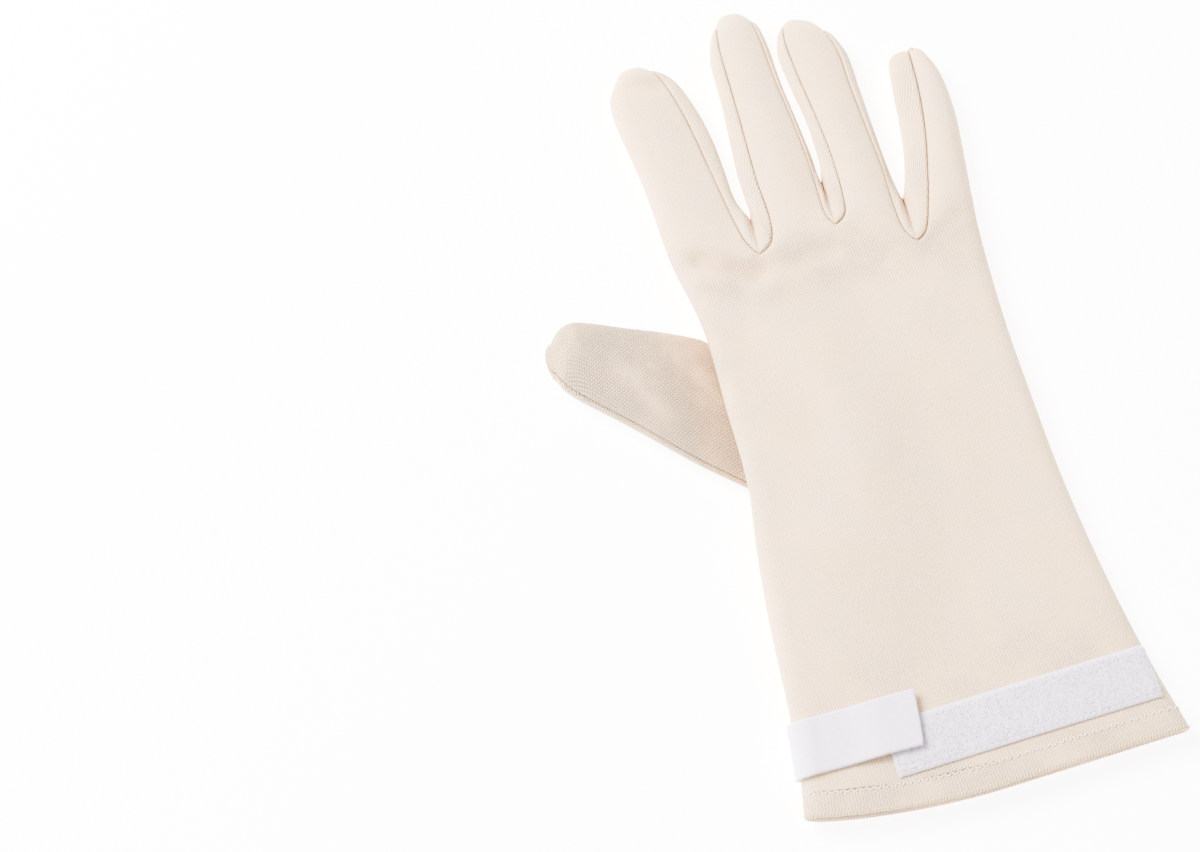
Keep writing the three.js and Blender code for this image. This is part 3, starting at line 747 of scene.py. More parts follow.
def cotton_material(name, wale_pitch, course_depth, nap, relief_depth):
    """The cotton knit, with its own pitch and depth of stitches."""
    settings = bpy.context.scene.glove_cloth
    material, nodes, surface = new_material(name)
    place = nodes.attribute("knit").outputs["Vector"]
    knit = nodes.group(
        "Knitted Stitches",
        knit_group,
        {
            "Place": place,
            "Wale Pitch": wale_pitch,
            "Course Pitch": settings.course_pitch / MM,
            "Course Depth": course_depth,
            "Ribs": nodes.attribute("ribs").outputs["Fac"],
            "Nap": nap,
        },
    )
    colour = nodes.group(
        "Cotton Colour",
        cotton_colour_group,
        {
            "Place": place,
            "Cotton": (*settings.cotton, 1),
            "Seam Thread": (*settings.seam_thread, 1),
            "Warm Shade": (*settings.warm_shade, 1),
            "Seam": nodes.attribute("seam").outputs["Fac"],
            "Warmth": nodes.attribute("warm").outputs["Fac"],
            "Hollow": knit["Hollow"],
        },
    )
    nodes.feed(
        surface,
        {
            "Base Color": colour["Color"],
            "Roughness": 0.95,
            "Sheen Weight": 0.12,
            "Sheen Roughness": 0.6,
            "Specular IOR Level": 0.15,
            "Normal": nodes.bump(knit["Height"], relief_depth),
        },
    )
    return material


def tape_material(name, colour, rib_pitch, grain, relief_depth, roughness, sheen):
    material, nodes, surface = new_material(name)
    place = nodes.attribute("knit").outputs["Vector"]
    values = {"Place": place, "Tape": (*colour, 1), "Rib Pitch": rib_pitch, "Grain": grain}
    tape = nodes.group("Woven Tape", tape_group, values)
    nodes.feed(
        surface,
        {
            "Base Color": tape["Color"],
            "Roughness": roughness,
            "Sheen Weight": sheen,
            "Specular IOR Level": 0.3,
            "Normal": nodes.bump(tape["Height"], relief_depth),
        },
    )
    return material


def thread_material(name, colour):
    material, nodes, surface = new_material(name)
    place = nodes.add("ShaderNodeTexCoord").outputs["Object"]
    scaled = nodes.feed(nodes.add("ShaderNodeVectorMath", operation="SCALE"), {0: place, "Scale": 1 / MM})
    values = {"Place": scaled.outputs[0], "Tape": (*colour, 1), "Rib Pitch": 0.4, "Grain": 0.6}
    tape = nodes.group("Woven Tape", tape_group, values)
    normal = nodes.bump(tape["Height"], 0.05, 0.6)
    nodes.feed(surface, {"Base Color": tape["Color"], "Roughness": 0.7, "Normal": normal})
    return material


def get_material(name, build, **values):
    return bpy.data.materials.get(name) or build(name, **values)


def hand_material():
    pitch = bpy.context.scene.glove_cloth.wale_pitch / MM
    knit = {"wale_pitch": pitch, "course_depth": 0.7, "nap": 1.6, "relief_depth": 0.22}
    return get_material("Cotton Interlock", cotton_material, **knit)


# Pieces


def knit_place(x, y, left, right, turned, face):
    """The knit's place, in millimetres along the cloth, which runs on round the turned sides."""
    slack = TURN_LENGTH - SIDE_ROUND
    arc = TURN_LENGTH * math.asin(clamp(turned)) / (math.pi / 2)
    if turned >= 1:
        around = x + slack
    elif x - left < right - x:
        around = left + arc
    else:
        around = right - SIDE_ROUND + slack + TURN_LENGTH - arc
    return Vector((around, y, PALM_KNIT * (face < 0)))


def ribs_at(x, y):
    """How clearly the ribs show: stretched at the cuff and the knuckles, brushed smooth elsewhere."""
    cuff = 1 - smooth(y, 20, 90)
    knuckles = hill(y - 208 + 0.12 * x, 17)
    side = hill(x - hand_at("left", y), 9) * (y < HAND[-1].y)
    return clamp(max(0.3, 0.9 * cuff, 1.1 * knuckles, 0.7 * side))


def fold_shade(x, y):
    """How much painted shade the cloth gets in the troughs of the folds."""
    depth = sum(crease_at(crease, x, y) for crease in CREASES if crease.height < 0)
    return clamp(-depth / 2.4)


def hand_grid(bm, strip, face, tree):
    """One face of one strip of the hand's cloth, from the hem's stitching to the fingertip."""
    depth = bpy.context.scene.glove_cloth.seam_depth / MM
    stations = hand_stations + [1 + t for t in finger_stations]
    left_line, right_line = strip.left(face), strip.right(face)
    rows = []
    for station in stations:
        start, end = left_line(station), right_line(station)
        width = (end - start).length
        rows.append((station, start, end, width, columns_of(strip, width)))

    def place(column, row):
        station, start, end, width, columns = rows[row]
        at, turned = columns[column]
        share = at / width
        crown = 1 - (2 * share - 1) ** 2
        tip = near_tip(station)
        plan = start.lerp(end, share)
        plan.y += strip.bulge * (1 - abs(2 * share - 1) ** 3) * tip**2
        in_finger = smooth(station, 1, 1.35)
        seam_rise = 0.5 * PALM_SEAM_Z if strip.fold else PALM_SEAM_Z
        back = lerp(back_z(plan.x, plan.y), FINGER_SEAM_Z + FINGER_CROWN * crown, in_finger)
        palm = lerp(palm_z(plan.x, plan.y), seam_rise * (1 - crown) ** 2, in_finger)
        away = tree.find(plan.to_3d())[2]
        open_here = openness(station)
        down = roll(away, SEAM_ROLL, depth) * open_here + roll(station * HAND_LENGTH, 0.9, 0.25)
        if face > 0:
            flat = back + relief(plan.x, plan.y) - down
        else:
            flat = palm + down
        z = lerp((back + palm) / 2, flat, turned)
        # Painted shade along the seam
        seam = clamp(1 - away / 0.36) * smooth(open_here, 0.1, 0.7)
        if station <= 1:
            left, right = sides_at(plan.y)
        else:
            left, right = start.x, end.x
        point = Vector((plan.x, plan.y, lerp(TIP_Z, z, open_here)))
        # Painted warm shade beside the seams and in the troughs of the folds
        warm = 0.16 * hill(away, 1) * open_here
        if face > 0:
            warm += 0.34 * fold_shade(plan.x, plan.y)
        knit = knit_place(plan.x, plan.y, left, right, turned, face)
        wall = max(THIN_WALL, open_here)
        return Place(point, knit, seam, clamp(warm), ribs_at(plan.x, plan.y), wall)

    add_grid(bm, len(rows[0][4]) - 1, len(stations) - 1, place, turned_over=face < 0)


def cut_oval(bm):
    """Opens the palm where the thumb is let in: the points beside the oval move onto it."""
    inside = []
    for vert in bm.verts:
        if vert.co.z > THUMB_LIFT + 0.9 or vert.normal.z > 0.2:
            continue
        dx, dy = vert.co.x - OVAL.x, vert.co.y - OVAL.y
        along = dx * math.sin(OVAL.tilt) + dy * math.cos(OVAL.tilt)
        across = -dx * math.cos(OVAL.tilt) + dy * math.sin(OVAL.tilt)
        reach = math.hypot(along / OVAL.half_length, across / OVAL.half_width)
        outside = (reach - 1) * OVAL.half_width
        if abs(outside) < 0.75:
            angle = math.atan2(across / OVAL.half_width, along / OVAL.half_length)
            vert.co.xy = oval_point(angle)
        elif outside < 0:
            inside.append(vert)
    bmesh.ops.delete(bm, geom=inside, context="VERTS")


def make_hand_cloth():
    bm = new_cloth()
    for face in (1, -1):
        tree = tree_of(seam_points(face))
        for strip in STRIPS:
            hand_grid(bm, strip, face, tree)
    bmesh.ops.remove_doubles(bm, verts=bm.verts, dist=0.02)
    bm.normal_update()
    cut_oval(bm)
    thickness = bpy.context.scene.glove_cloth.thickness
    piece = make_piece(bm, "hand_cloth", hand_material(), ("back", "palm"), thickness)


def fourchette_surface(web):
    """The outside of a fourchette: u from fingertip round the web to fingertip, v from palm to back."""
    sides = {}
    for sign, side in ((-1, "left"), (1, "right")):
        out = [Vector((row.out_x, row.out_y)) for row in WEBS[web, side]]
        other = WEBS[web, OTHER[side]][1]
        seams = {face: seam_line(web, side)(face) for face in (1, -1)}
        sides[sign] = (seams, out, out[0].lerp(Vector((other.out_x, other.out_y)), WEB_ROUND))
    web_point = sides[1][0][1](1)

    def surface(u, v):
        seams, out_points, lead = sides[-1 if u < 0 else 1]
        t = abs(u)
        palm_edge, back_edge = seams[-1](1 + t), seams[1](1 + t)
        out = curve(out_points, t, lead).lerp(back_edge, 0.45 * smooth(t, 0.95, 1))
        in_finger = smooth(t, 0, 0.35)
        back = lerp(back_z(*web_point), FINGER_SEAM_Z, in_finger)
        palm = lerp(palm_z(*web_point), PALM_SEAM_Z, in_finger)
        turn = v * math.pi
        plan = palm_edge.lerp(back_edge, v).lerp(out, math.sin(turn))
        half = FINGER_SIDE_Z - palm if turn < math.pi / 2 else back - FINGER_SIDE_Z
        z = FINGER_SIDE_Z - half * math.cos(turn)
        sag = 2.2 * hill(t, 0.09) * math.sin(2 * math.pi * max(v - 0.5, 0))
        z += relief(back_edge.x, back_edge.y) * smooth(v, 0.6, 1)
        return Vector((plan.x, plan.y, lerp(TIP_Z, z - sag, openness(1 + t))))

    return surface


def make_fourchette(web):
    settings = bpy.context.scene.glove_cloth
    surface = fourchette_surface(web)
    arm = [0.0] + finger_stations
    stations = [-t for t in reversed(arm)] + arm[1:]
    across = 44
    rim = settings.seam_depth / MM
    pitch = settings.wale_pitch / MM
    lengths = {u: run_of([surface(u, v) for v in evenly(across)]) for u in stations}
    along = run_of([surface(u, 0.5) for u in stations])
    web_at = along[stations.index(0.0)]

    def place(column, row):
        u, v = stations[column], row / across
        done, total = lengths[u][row], lengths[u][across]
        near = min(done, total - done)
        from_web = abs(along[column] - web_at)
        joint = hill(from_web, 0.4) * math.sin(v * math.pi)
        tight = openness(1 + abs(u))
        rib = 0.09 * math.cos(2 * math.pi * done / pitch)
        inward = roll(near, SEAM_ROLL, rim) + 0.55 * joint + rib * smooth(near, 0.3, 1.5)
        point = surface(u, v)
        way = Vector((0, 0, -1 if v > 0.5 else 1))
        if tight > 0.3:
            inside = clamp(abs(u), 0.012, 0.985) * (1 if u >= 0 else -1), clamp(v, 0.012, 0.988)
            square = square_off(surface, *inside, -1, 0.006) - surface(*inside)
            way = square.lerp(way, clamp(1 - near / SEAM_ROLL))
        point += way * inward * tight
        point.z = max(point.z, 0.02)
        # Painted shade along the seams and the joint at the web, and painted warm shade in the web's
        # pocket and beside the seams
        seam = max(0.6 * clamp(1 - near / 0.3), 0.8 * joint) * smooth(tight, 0.1, 0.7)
        pocket_shade = hill(from_web, 3.5) * math.sin(v * math.pi) ** 2
        warm = max(0.2 * hill(near, 1.2), 0.9 * pocket_shade)
        knit = Vector((done, along[column], FOURCHETTE_KNIT))
        return Place(point, knit, seam, warm, wall=max(THIN_WALL, tight))

    bm = new_cloth()
    add_grid(bm, len(stations) - 1, across, place, turned_over=True)
    knit = {"wale_pitch": pitch, "course_depth": 0.12, "nap": 0.45, "relief_depth": 0.26}
    material = get_material("Cotton Ribs", cotton_material, **knit)
    name, nodes = "fourchette_cloth_" + web, ("fourchette_" + web,)
    piece = make_piece(bm, name, material, nodes, settings.thickness)
    return piece, max(lengths[u][across] for u in stations) * MM, along[-1] * MM


def power(value, exponent):
    return math.copysign(abs(value) ** exponent, value)


def thumb_section(section, floor, angle):
    """A point of the thumb's section, from its upper edge, 0, over the top to its lower edge."""
    across = 0.5 + 0.5 * power(math.cos(angle), 2 / THUMB_BOX)
    up = 0.5 + 0.5 * power(math.sin(angle), 2 / THUMB_BOX)
    x = lerp(section[0], section[2], across)
    y = lerp(section[1], section[3], across)
    return Vector((x, y, lerp(floor, section[4], up)))


THUMB_ROWS = 84
THUMB_NECK, THUMB_ELBOW, THUMB_TIP = 0.04, 0.2, 0.93  # where the neck and the bend end, and the tip starts
THUMB_CLOSED = 0.985  # from this share on the tip is too narrow for seam and waves
THUMB_SEAM_IN = 1.7  # the seam lies this far inside the thumb's lower outline
THUMB_SEAM_DEGREES = range(143, 166)  # where the section has more columns, for the seam


def thumb_surface(share, angle):
    """The outside of the thumb: share runs from the rim in the palm, 0, to the tip, 1."""
    rim = oval_point(angle, -0.2).to_3d()
    if share <= THUMB_NECK:
        rim.z = lerp(THUMB_LIFT + 1.0, THUMB_NECK_Z, share / THUMB_NECK)
        return rim
    if share <= THUMB_ELBOW:
        turn = (share - THUMB_NECK) / (THUMB_ELBOW - THUMB_NECK) * math.pi / 2
        side = thumb_section(THUMB[0], 0, angle)
        rim.z = THUMB_NECK_Z
        point = rim.lerp(side, 1 - math.cos(turn))
        point.z = lerp(rim.z, side.z, math.sin(turn))
        return point
    rows = [Vector(row) for row in THUMB]
    if share <= THUMB_TIP:
        return thumb_section(curve(rows, (share - THUMB_ELBOW) / (THUMB_TIP - THUMB_ELBOW)), 0, angle)
    turn = (share - THUMB_TIP) / (1 - THUMB_TIP) * math.pi / 2
    end = rows[-1].copy()
    closing = 1 - math.cos(turn)
    end[0] = lerp(end[0], THUMB_END[0], math.sin(turn))
    end[2] = lerp(end[2], THUMB_END[0], math.sin(turn))
    end[1] = lerp(end[1], THUMB_END[1], closing)
    end[3] = lerp(end[3], THUMB_END[1], closing)
    middle = end[4] / 2
    end[4] = lerp(end[4], middle, closing)
    return thumb_section(end, middle * closing, angle)


def seam_angle(share):
    """Where on the thumb's section the seam runs, a little inside the lower outline."""
    section = [thumb_surface(share, math.pi * k) for k in (0, 1)]
    width = max((section[0].xy - section[1].xy).length, 2 * THUMB_SEAM_IN)
    cosine = (1 - 2 * THUMB_SEAM_IN / width) ** (THUMB_BOX / 2)
    return math.pi - math.acos(clamp(cosine))


def make_thumb():
    settings = bpy.context.scene.glove_cloth
    shares = evenly(THUMB_ROWS)
    angles = [share * 2 * math.pi for share in evenly(96)[:-1]]
    angles += [math.radians(degrees) for degrees in THUMB_SEAM_DEGREES if degrees % 15]
    angles = sorted({round(angle, 5) for angle in angles})
    angles.append(angles[0] + 2 * math.pi)
    seam_shares = [lerp(THUMB_ELBOW, THUMB_CLOSED, share) for share in evenly(700)]
    tree = tree_of([thumb_surface(share, seam_angle(share)) for share in seam_shares])
    along = run_of([thumb_surface(share, math.pi / 2) for share in shares])
    around = [run_of([thumb_surface(share, angle) for angle in angles]) for share in shares]

    def place(column, row):
        share, angle = shares[row], angles[column]
        point = thumb_surface(share, angle)
        away = tree.find(point)[2]
        depth = roll(away, 1.2, 0.95) * (1 - smooth(share, 0.94, THUMB_CLOSED))
        wave = 0.2 * noise.noise(point / 14) * smooth(share, 0.1, 0.3) * (1 - smooth(share, 0.9, 1.0))
        if 0.01 < share < THUMB_CLOSED:
            point = square_off(thumb_surface, share, angle, depth - wave * (point.z > 2), 0.004)
        # Painted shade along the seam, and painted warm shade where the thumb goes under the hand and
        # beside the seam
        seam_shade_mask = clamp(1 - away / 0.5) * smooth(share, 0.1, 0.2)
        shade_under_hand = smooth(point.x, -84, -46)
        warm = max(0.7 * shade_under_hand**2, 0.2 * hill(away, 1.2))
        u = around[row][column] * 0.8 + along[row] * 0.5
        v = along[row] * 0.8 - around[row][column] * 0.5
        return Place(point, Vector((u, v, THUMB_KNIT)), seam_shade_mask, warm)

    bm = new_cloth()
    add_grid(bm, len(angles) - 1, THUMB_ROWS, place, turned_over=True)
    knit = {"wale_pitch": 1.35, "course_depth": 1.0, "nap": 0.7, "relief_depth": 0.55}
    material = get_material("Cotton Pebble", cotton_material, **knit)
    piece = make_piece(bm, "thumb_cloth", material, ("thumb",), settings.thickness, merge=0.004)


def cuff_length(y):
    """How far it is round half the cuff, from the thumb's side to the little finger's side."""
    left, right = sides_at(y)
    return right - left - 2 * SIDE_ROUND + 2 * TURN_LENGTH


def on_cuff(around, y):
    """A point on the outside of the cuff, so far round from the thumb's side: the palm is below 0."""
    length = cuff_length(y)
    around = (around + length) % (2 * length) - length
    face = 1 if around >= 0 else -1
    way = abs(around)
    left, right = sides_at(y)
    if way < TURN_LENGTH:
        turn = way / TURN_LENGTH * math.pi / 2
        x, turned = left + SIDE_ROUND * (1 - math.cos(turn)), math.sin(turn)
    elif way > length - TURN_LENGTH:
        turn = (length - way) / TURN_LENGTH * math.pi / 2
        x, turned = right - SIDE_ROUND * (1 - math.cos(turn)), math.sin(turn)
    else:
        x, turned = left + SIDE_ROUND + way - TURN_LENGTH, 1.0
    back, palm = back_z(x, y), palm_z(x, y)
    flat = back + relief(x, y) if face > 0 else palm
    return Vector((x, y, lerp((back + palm) / 2, flat, turned)))


def around_at(x, y):
    """How far round the back of the cuff a place lies."""
    left, right = sides_at(y)
    if right - x < SIDE_ROUND:
        turn = math.acos(clamp(1 - (right - x) / SIDE_ROUND, -1, 1))
        return cuff_length(y) - TURN_LENGTH * turn / (math.pi / 2)
    return x - left - SIDE_ROUND + TURN_LENGTH


def off_cuff(around, y, up):
    """The same point, raised at right angles to the cuff."""
    return square_off(on_cuff, around, y, -up, 0.05)


def hem_point(share, above_edge, depth=0.0):
    """A point of the hem, share 0 to 1 right round the cuff, measured up from its lower edge."""
    x = on_cuff(share * 2 * cuff_length(0), 0).x
    y = hem_edge_y(x) + above_edge
    return off_cuff(share * 2 * cuff_length(y), y, -depth)


def make_hem():
    around = 260
    radius = HEM_THICK / 2
    profile = [(HEM_DEPTH + 1.0, 1.0), (HEM_DEPTH + 0.3, 0.45), (HEM_DEPTH, 0.2), (HEM_DEPTH - 0.4, 0.06)]
    profile += [(lerp(HEM_DEPTH - 0.9, radius, share), 0.0) for share in evenly(6)]
    for share in evenly(8)[1:]:
        turn = share * math.pi
        profile.append((radius * (1 - math.sin(turn)), radius * (1 - math.cos(turn))))
    profile += [(lerp(radius, HEM_DEPTH, share), HEM_THICK) for share in evenly(4)[1:]]
    profile.append(profile[0])
    lengths = [0.0]
    for a, b in zip(profile, profile[1:]):
        lengths.append(lengths[-1] + math.dist(a, b))

    def place(column, row):
        above, depth = profile[row]
        share = column / around
        point = hem_point(share, above, depth)
        # Painted shade along the stitched line, and painted warm shade on the rolled-under and tucked-in
        # cloth
        seam = 0.2 * clamp(1 - abs(above - HEM_DEPTH) / 0.6) * (depth < 1)
        u = share * 2 * cuff_length(4)
        return Place(point, Vector((u, -lengths[row], 0.0)), seam, 0.15 * (depth > 0.6))

    bm = new_cloth()
    add_grid(bm, around, len(profile) - 1, place, turned_over=True)
    make_piece(bm, "hem_cloth", hand_material(), ("cuff_hem",), merge=0.01)


def frame_at(point, along, up):
    """A matrix whose X axis runs along and whose Z axis points up, at a point."""
    x = along.normalized()
    y = up.cross(x).normalized()
    z = x.cross(y)
    matrix = Matrix((x, y, z)).transposed().to_4x4()
    matrix.translation = point
    return matrix


def bead():
    """A small rounded bead of thread, a unit in half length, as a mesh to scatter."""
    bm = bmesh.new()
    bmesh.ops.create_uvsphere(bm, u_segments=6, v_segments=5, radius=1)
    return mesh_of(bm, "bead")


def scatter(shape, places, batch=80):
    """A mesh in the making with a copy of the shape at each place, joined in batches to be quick."""
    whole, spare = bmesh.new(), bpy.data.meshes.new("batch")
    for start in range(0, len(places), batch):
        part = bmesh.new()
        for place in places[start : start + batch]:
            part.from_mesh(shape)
            part.verts.ensure_lookup_table()
            bmesh.ops.transform(part, matrix=place, verts=part.verts[-len(shape.vertices) :])
        part.to_mesh(spare)
        part.free()
        whole.from_mesh(spare)
    bpy.data.meshes.remove(spare)
    bpy.data.meshes.remove(shape)
    return whole


def stitch_place(point, along, up, slant, size):
    """Where a bead goes: its length, width and height, turned by a slant from the way along."""
    turn = Matrix.Rotation(math.radians(slant), 4, "Z")
    return frame_at(point, along, up) @ turn @ Matrix.Diagonal((size[0] / 2, size[1] / 2, size[2] / 2, 1))


def make_stitching():
    """The white stitches over the hem."""
    settings = bpy.context.scene.glove_stitching
    pitch, thick = settings.pitch / MM, settings.thickness / MM
    material = get_material("White Thread", thread_material, colour=tuple(settings.thread))
    places = []
    count = round(2 * cuff_length(8) / pitch)
    for k in range(count):
        share = (k + 0.5) / count
        point = hem_point(share, HEM_DEPTH, -0.12 if share < 0.5 else 0.3)
        along = hem_point(share + 0.002, HEM_DEPTH) - hem_point(share - 0.002, HEM_DEPTH)
        up = hem_point(share, HEM_DEPTH, -1) - point
        size = (1.35 * pitch, 1.3 * thick, 1.3 * thick)
        places.append(stitch_place(point, along, up, 46 if k % 2 else -46, size))
    make_piece(scatter(bead(), places), "hem_stitches", material, merge=0)


def make_edge_loops():
    """The knit's own loops show as a fine slanted rope where the cloth is folded at the hem's edge."""
    settings = bpy.context.scene.glove_cloth
    # The yarn is the cotton darkened to 0.8, a painted shade on the rope of loops
    colour = tuple(0.8 * part for part in settings.cotton)
    material = get_material("Cotton Yarn", thread_material, colour=colour)
    pitch = settings.wale_pitch / MM
    places = []
    count = round(2 * cuff_length(0) / pitch)
    for k in range(count):
        share = (k + 0.5) / count
        along = hem_point(share + 0.002, 0.3, 0.6) - hem_point(share - 0.002, 0.3, 0.6)
        for turn, slant in ((40, 55), (78, -55)):
            angle = math.radians(turn)
            above, depth = HEM_THICK / 2 * (1 - math.sin(angle)), HEM_THICK / 2 * (1 - math.cos(angle))
            point = hem_point(share, above, max(depth, 0.75 * (share > 0.5)))
            out = hem_point(share, above - math.sin(angle), depth - math.cos(angle)) - point
            places.append(stitch_place(point, along, out, slant, (1.9, 0.8, 0.8)))
    make_piece(scatter(bead(), places), "hem_edge_loops", material, merge=0)


def tape_grid(columns, rows, surface, thickness, knit):
    """A strip of tape with its thickness: a top, an underside, and rounded edges between them."""
    bm = new_cloth()

    def side(up):
        def place(column, row):
            return Place(surface(column / columns, row / rows, up), knit(column, row), 0.0, 0.0)

        return place

    add_grid(bm, columns, rows, side(thickness))
    add_grid(bm, columns, rows, side(0.0), turned_over=True)
    rims = [edge for edge in bm.edges if edge.is_boundary]
    bmesh.ops.bridge_loops(bm, edges=rims)
    return bm


LOOP_CROWD = 1.7  # how much closer the strip's columns lie at its right end, where it bends most


def crowded(share, exponent=LOOP_CROWD):
    """Where along the strip a share of its columns ends, or with 1 / LOOP_CROWD the other way about."""
    return 1 - (1 - share) ** exponent


def loop_surface(u, v, up):
    """A point over the loop strip, which lies on the back of the cuff."""
    y = LOOP_Y + TAPE_WIDTH * (v - 0.5)
    x = lerp(LOOP_LEFT, LOOP_RIGHT, crowded(u))
    return off_cuff(around_at(x, y), y, 0.15 + up)


def make_loop_strip():
    settings = bpy.context.scene.glove_closure
    columns, rows = 150, 32
    base, selvedge = 0.75, 1.6
    colour = tuple(settings.loop_colour)
    weave = {"rib_pitch": 0.55, "grain": 1.2, "relief_depth": 0.16, "roughness": 0.9, "sheen": 0.4}
    material = get_material("Loop Tape", tape_material, colour=colour, **weave)

    def surface(u, v, up):
        away = TAPE_WIDTH * min(v, 1 - v)
        pile = smooth(away, selvedge - 0.5, selvedge + 0.5)
        rough = 0.12 * noise.noise(Vector((u * 62, v * 13, 1.0))) * pile
        lift = (0.35 * pile + rough) if up else 0.0
        tuck = 0.3 * (1 - smooth(away, 0.0, 0.5)) if up else 0.0
        return loop_surface(u, v, up + lift - tuck)

    def knit(column, row):
        along = crowded(column / columns) * (LOOP_RIGHT - LOOP_LEFT)
        return Vector((along, TAPE_WIDTH * row / rows, LOOP_KNIT))

    bm = tape_grid(columns, rows, surface, base, knit)
    piece = make_piece(bm, "loop_tape", material, ("loop_strip",), merge=0.005)


def make_loop_pile():
    """The nap of the loop strip: small loops of yarn, leaning every way."""
    settings = bpy.context.scene.glove_closure
    rng = random.Random(11)
    material = get_material("Loop Yarn", thread_material, colour=tuple(settings.loop_colour))
    bm = bmesh.new()
    ring = bmesh.ops.create_circle(bm, segments=3, radius=1.0, cap_ends=False)["verts"]
    bmesh.ops.transform(bm, matrix=Matrix.Scale(settings.yarn / MM / 2, 4), verts=ring)
    bmesh.ops.rotate(bm, verts=ring, matrix=Matrix.Rotation(math.pi / 2, 3, "X"))
    bmesh.ops.translate(bm, verts=ring, vec=(0.28, 0, 0))
    edges = list(bm.edges)
    bmesh.ops.spin(
        bm, geom=ring + edges, cent=(0, 0, 0), axis=(0, 1, 0), angle=-math.pi, steps=4, use_duplicate=False
    )
    shape = mesh_of(bm, "yarn loop")
    places = []
    for _ in range(settings.pile_loops):
        share, v = rng.random(), rng.uniform(0.085, 0.915)
        u = crowded(share, 1 / LOOP_CROWD)
        point = loop_surface(u, v, 1.0)
        up = loop_surface(u, v, 2.0) - point
        lean = Vector((rng.uniform(-1, 1), rng.uniform(-1, 1), rng.uniform(-0.2, 0.2)))
        turn = frame_at(point, lean, up + 0.7 * lean.cross(up))
        places.append(turn @ Matrix.Diagonal((rng.uniform(0.7, 1.25), 1.0, rng.uniform(0.5, 1.0), 1.0)))
    make_piece(scatter(shape, places), "loop_pile", material, merge=0)


def make_tape_threads():
    """The stitches that hold the loop strip down, and the cut weft threads at its right end."""
    settings = bpy.context.scene.glove_stitching
    thick = settings.thickness / MM
    material = get_material("White Thread", thread_material, colour=tuple(settings.thread))
    places = []
    count = round((LOOP_RIGHT - LOOP_LEFT) / 2.4)
    for k in range(count):
        u = crowded((k + 0.5) / count, 1 / LOOP_CROWD)
        for v in (0.06, 0.94):
            point = loop_surface(u, v, 0.82)
            along = loop_surface(u + 0.004, v, 0.82) - point
            up = loop_surface(u, v, 2) - point
            places.append(stitch_place(point, along, up, 8 * (k % 2) - 4, (1.7, 1.1 * thick, 1.1 * thick)))
    rng = random.Random(5)
    for _ in range(54):
        v = rng.uniform(0.02, 0.98)
        point = loop_surface(1, v, rng.uniform(0.1, 0.9))
        along = point - loop_surface(0.98, v, rng.uniform(-0.3, 0.6))
        up = loop_surface(1, v, 2) - loop_surface(1, v, 0)
        size = (rng.uniform(1.2, 3.4), 0.16, 0.16)
        places.append(stitch_place(point, along, up, rng.uniform(-38, 38), size))
    make_piece(scatter(bead(), places), "loop_tape_threads", material, merge=0)


def hook_surface(u, v, up):
    """A point over the hook tab, which comes round from the palm and climbs onto the loop strip."""
    height, middle, reach = HOOK_EASE
    around = lerp(HOOK_PALM_END, HOOK_BACK_END, u)
    y = HOOK_Y + HOOK_SLOPE * around + TAPE_WIDTH * (v - 0.5)
    climb = (LOOP_THICK + TAPE_GAP) * smooth(around, *HOOK_CLIMB)
    ease = height * (1 - smooth(abs(around - middle), 0, reach))
    on_table = 0.0 if around > 0 else 0.05
    return off_cuff(around, y, TAPE_GAP - on_table + climb + ease + up)


def make_hook_tab():
    settings = bpy.context.scene.glove_closure
    columns, rows = 96, 24
    colour = tuple(settings.hook_colour)
    weave = {"rib_pitch": 0.42, "grain": 0.5, "relief_depth": 0.07, "roughness": 0.62, "sheen": 0.15}
    material = get_material("Hook Tape", tape_material, colour=colour, **weave)
    length = HOOK_BACK_END - HOOK_PALM_END

    def surface(u, v, up):
        end = smooth(u, 0.86, 1.0) if up else 0.0
        edge = 0.12 * (1 - smooth(TAPE_WIDTH * min(v, 1 - v), 0, 0.5)) if up else 0.0
        return hook_surface(u, v, up + 0.15 * end - edge)

    def knit(column, row):
        return Vector((length * column / columns, TAPE_WIDTH * row / rows, HOOK_KNIT))

    bm = tape_grid(columns, rows, surface, HOOK_THICK, knit)
    piece = make_piece(bm, "hook_tape", material, ("hook_tab",), merge=0.005)


# Stage


def aim(thing, target, azimuth, elevation, distance):
    """Puts a light or camera at a distance from its target. Azimuth 0 looks along +Y."""
    back = Vector(
        (
            math.sin(azimuth) * math.cos(elevation),
            -math.cos(azimuth) * math.cos(elevation),
            math.sin(elevation),
        )
    )
    thing.location = target + back * distance
    thing.rotation_euler = back.to_track_quat("Z", "Y").to_euler()


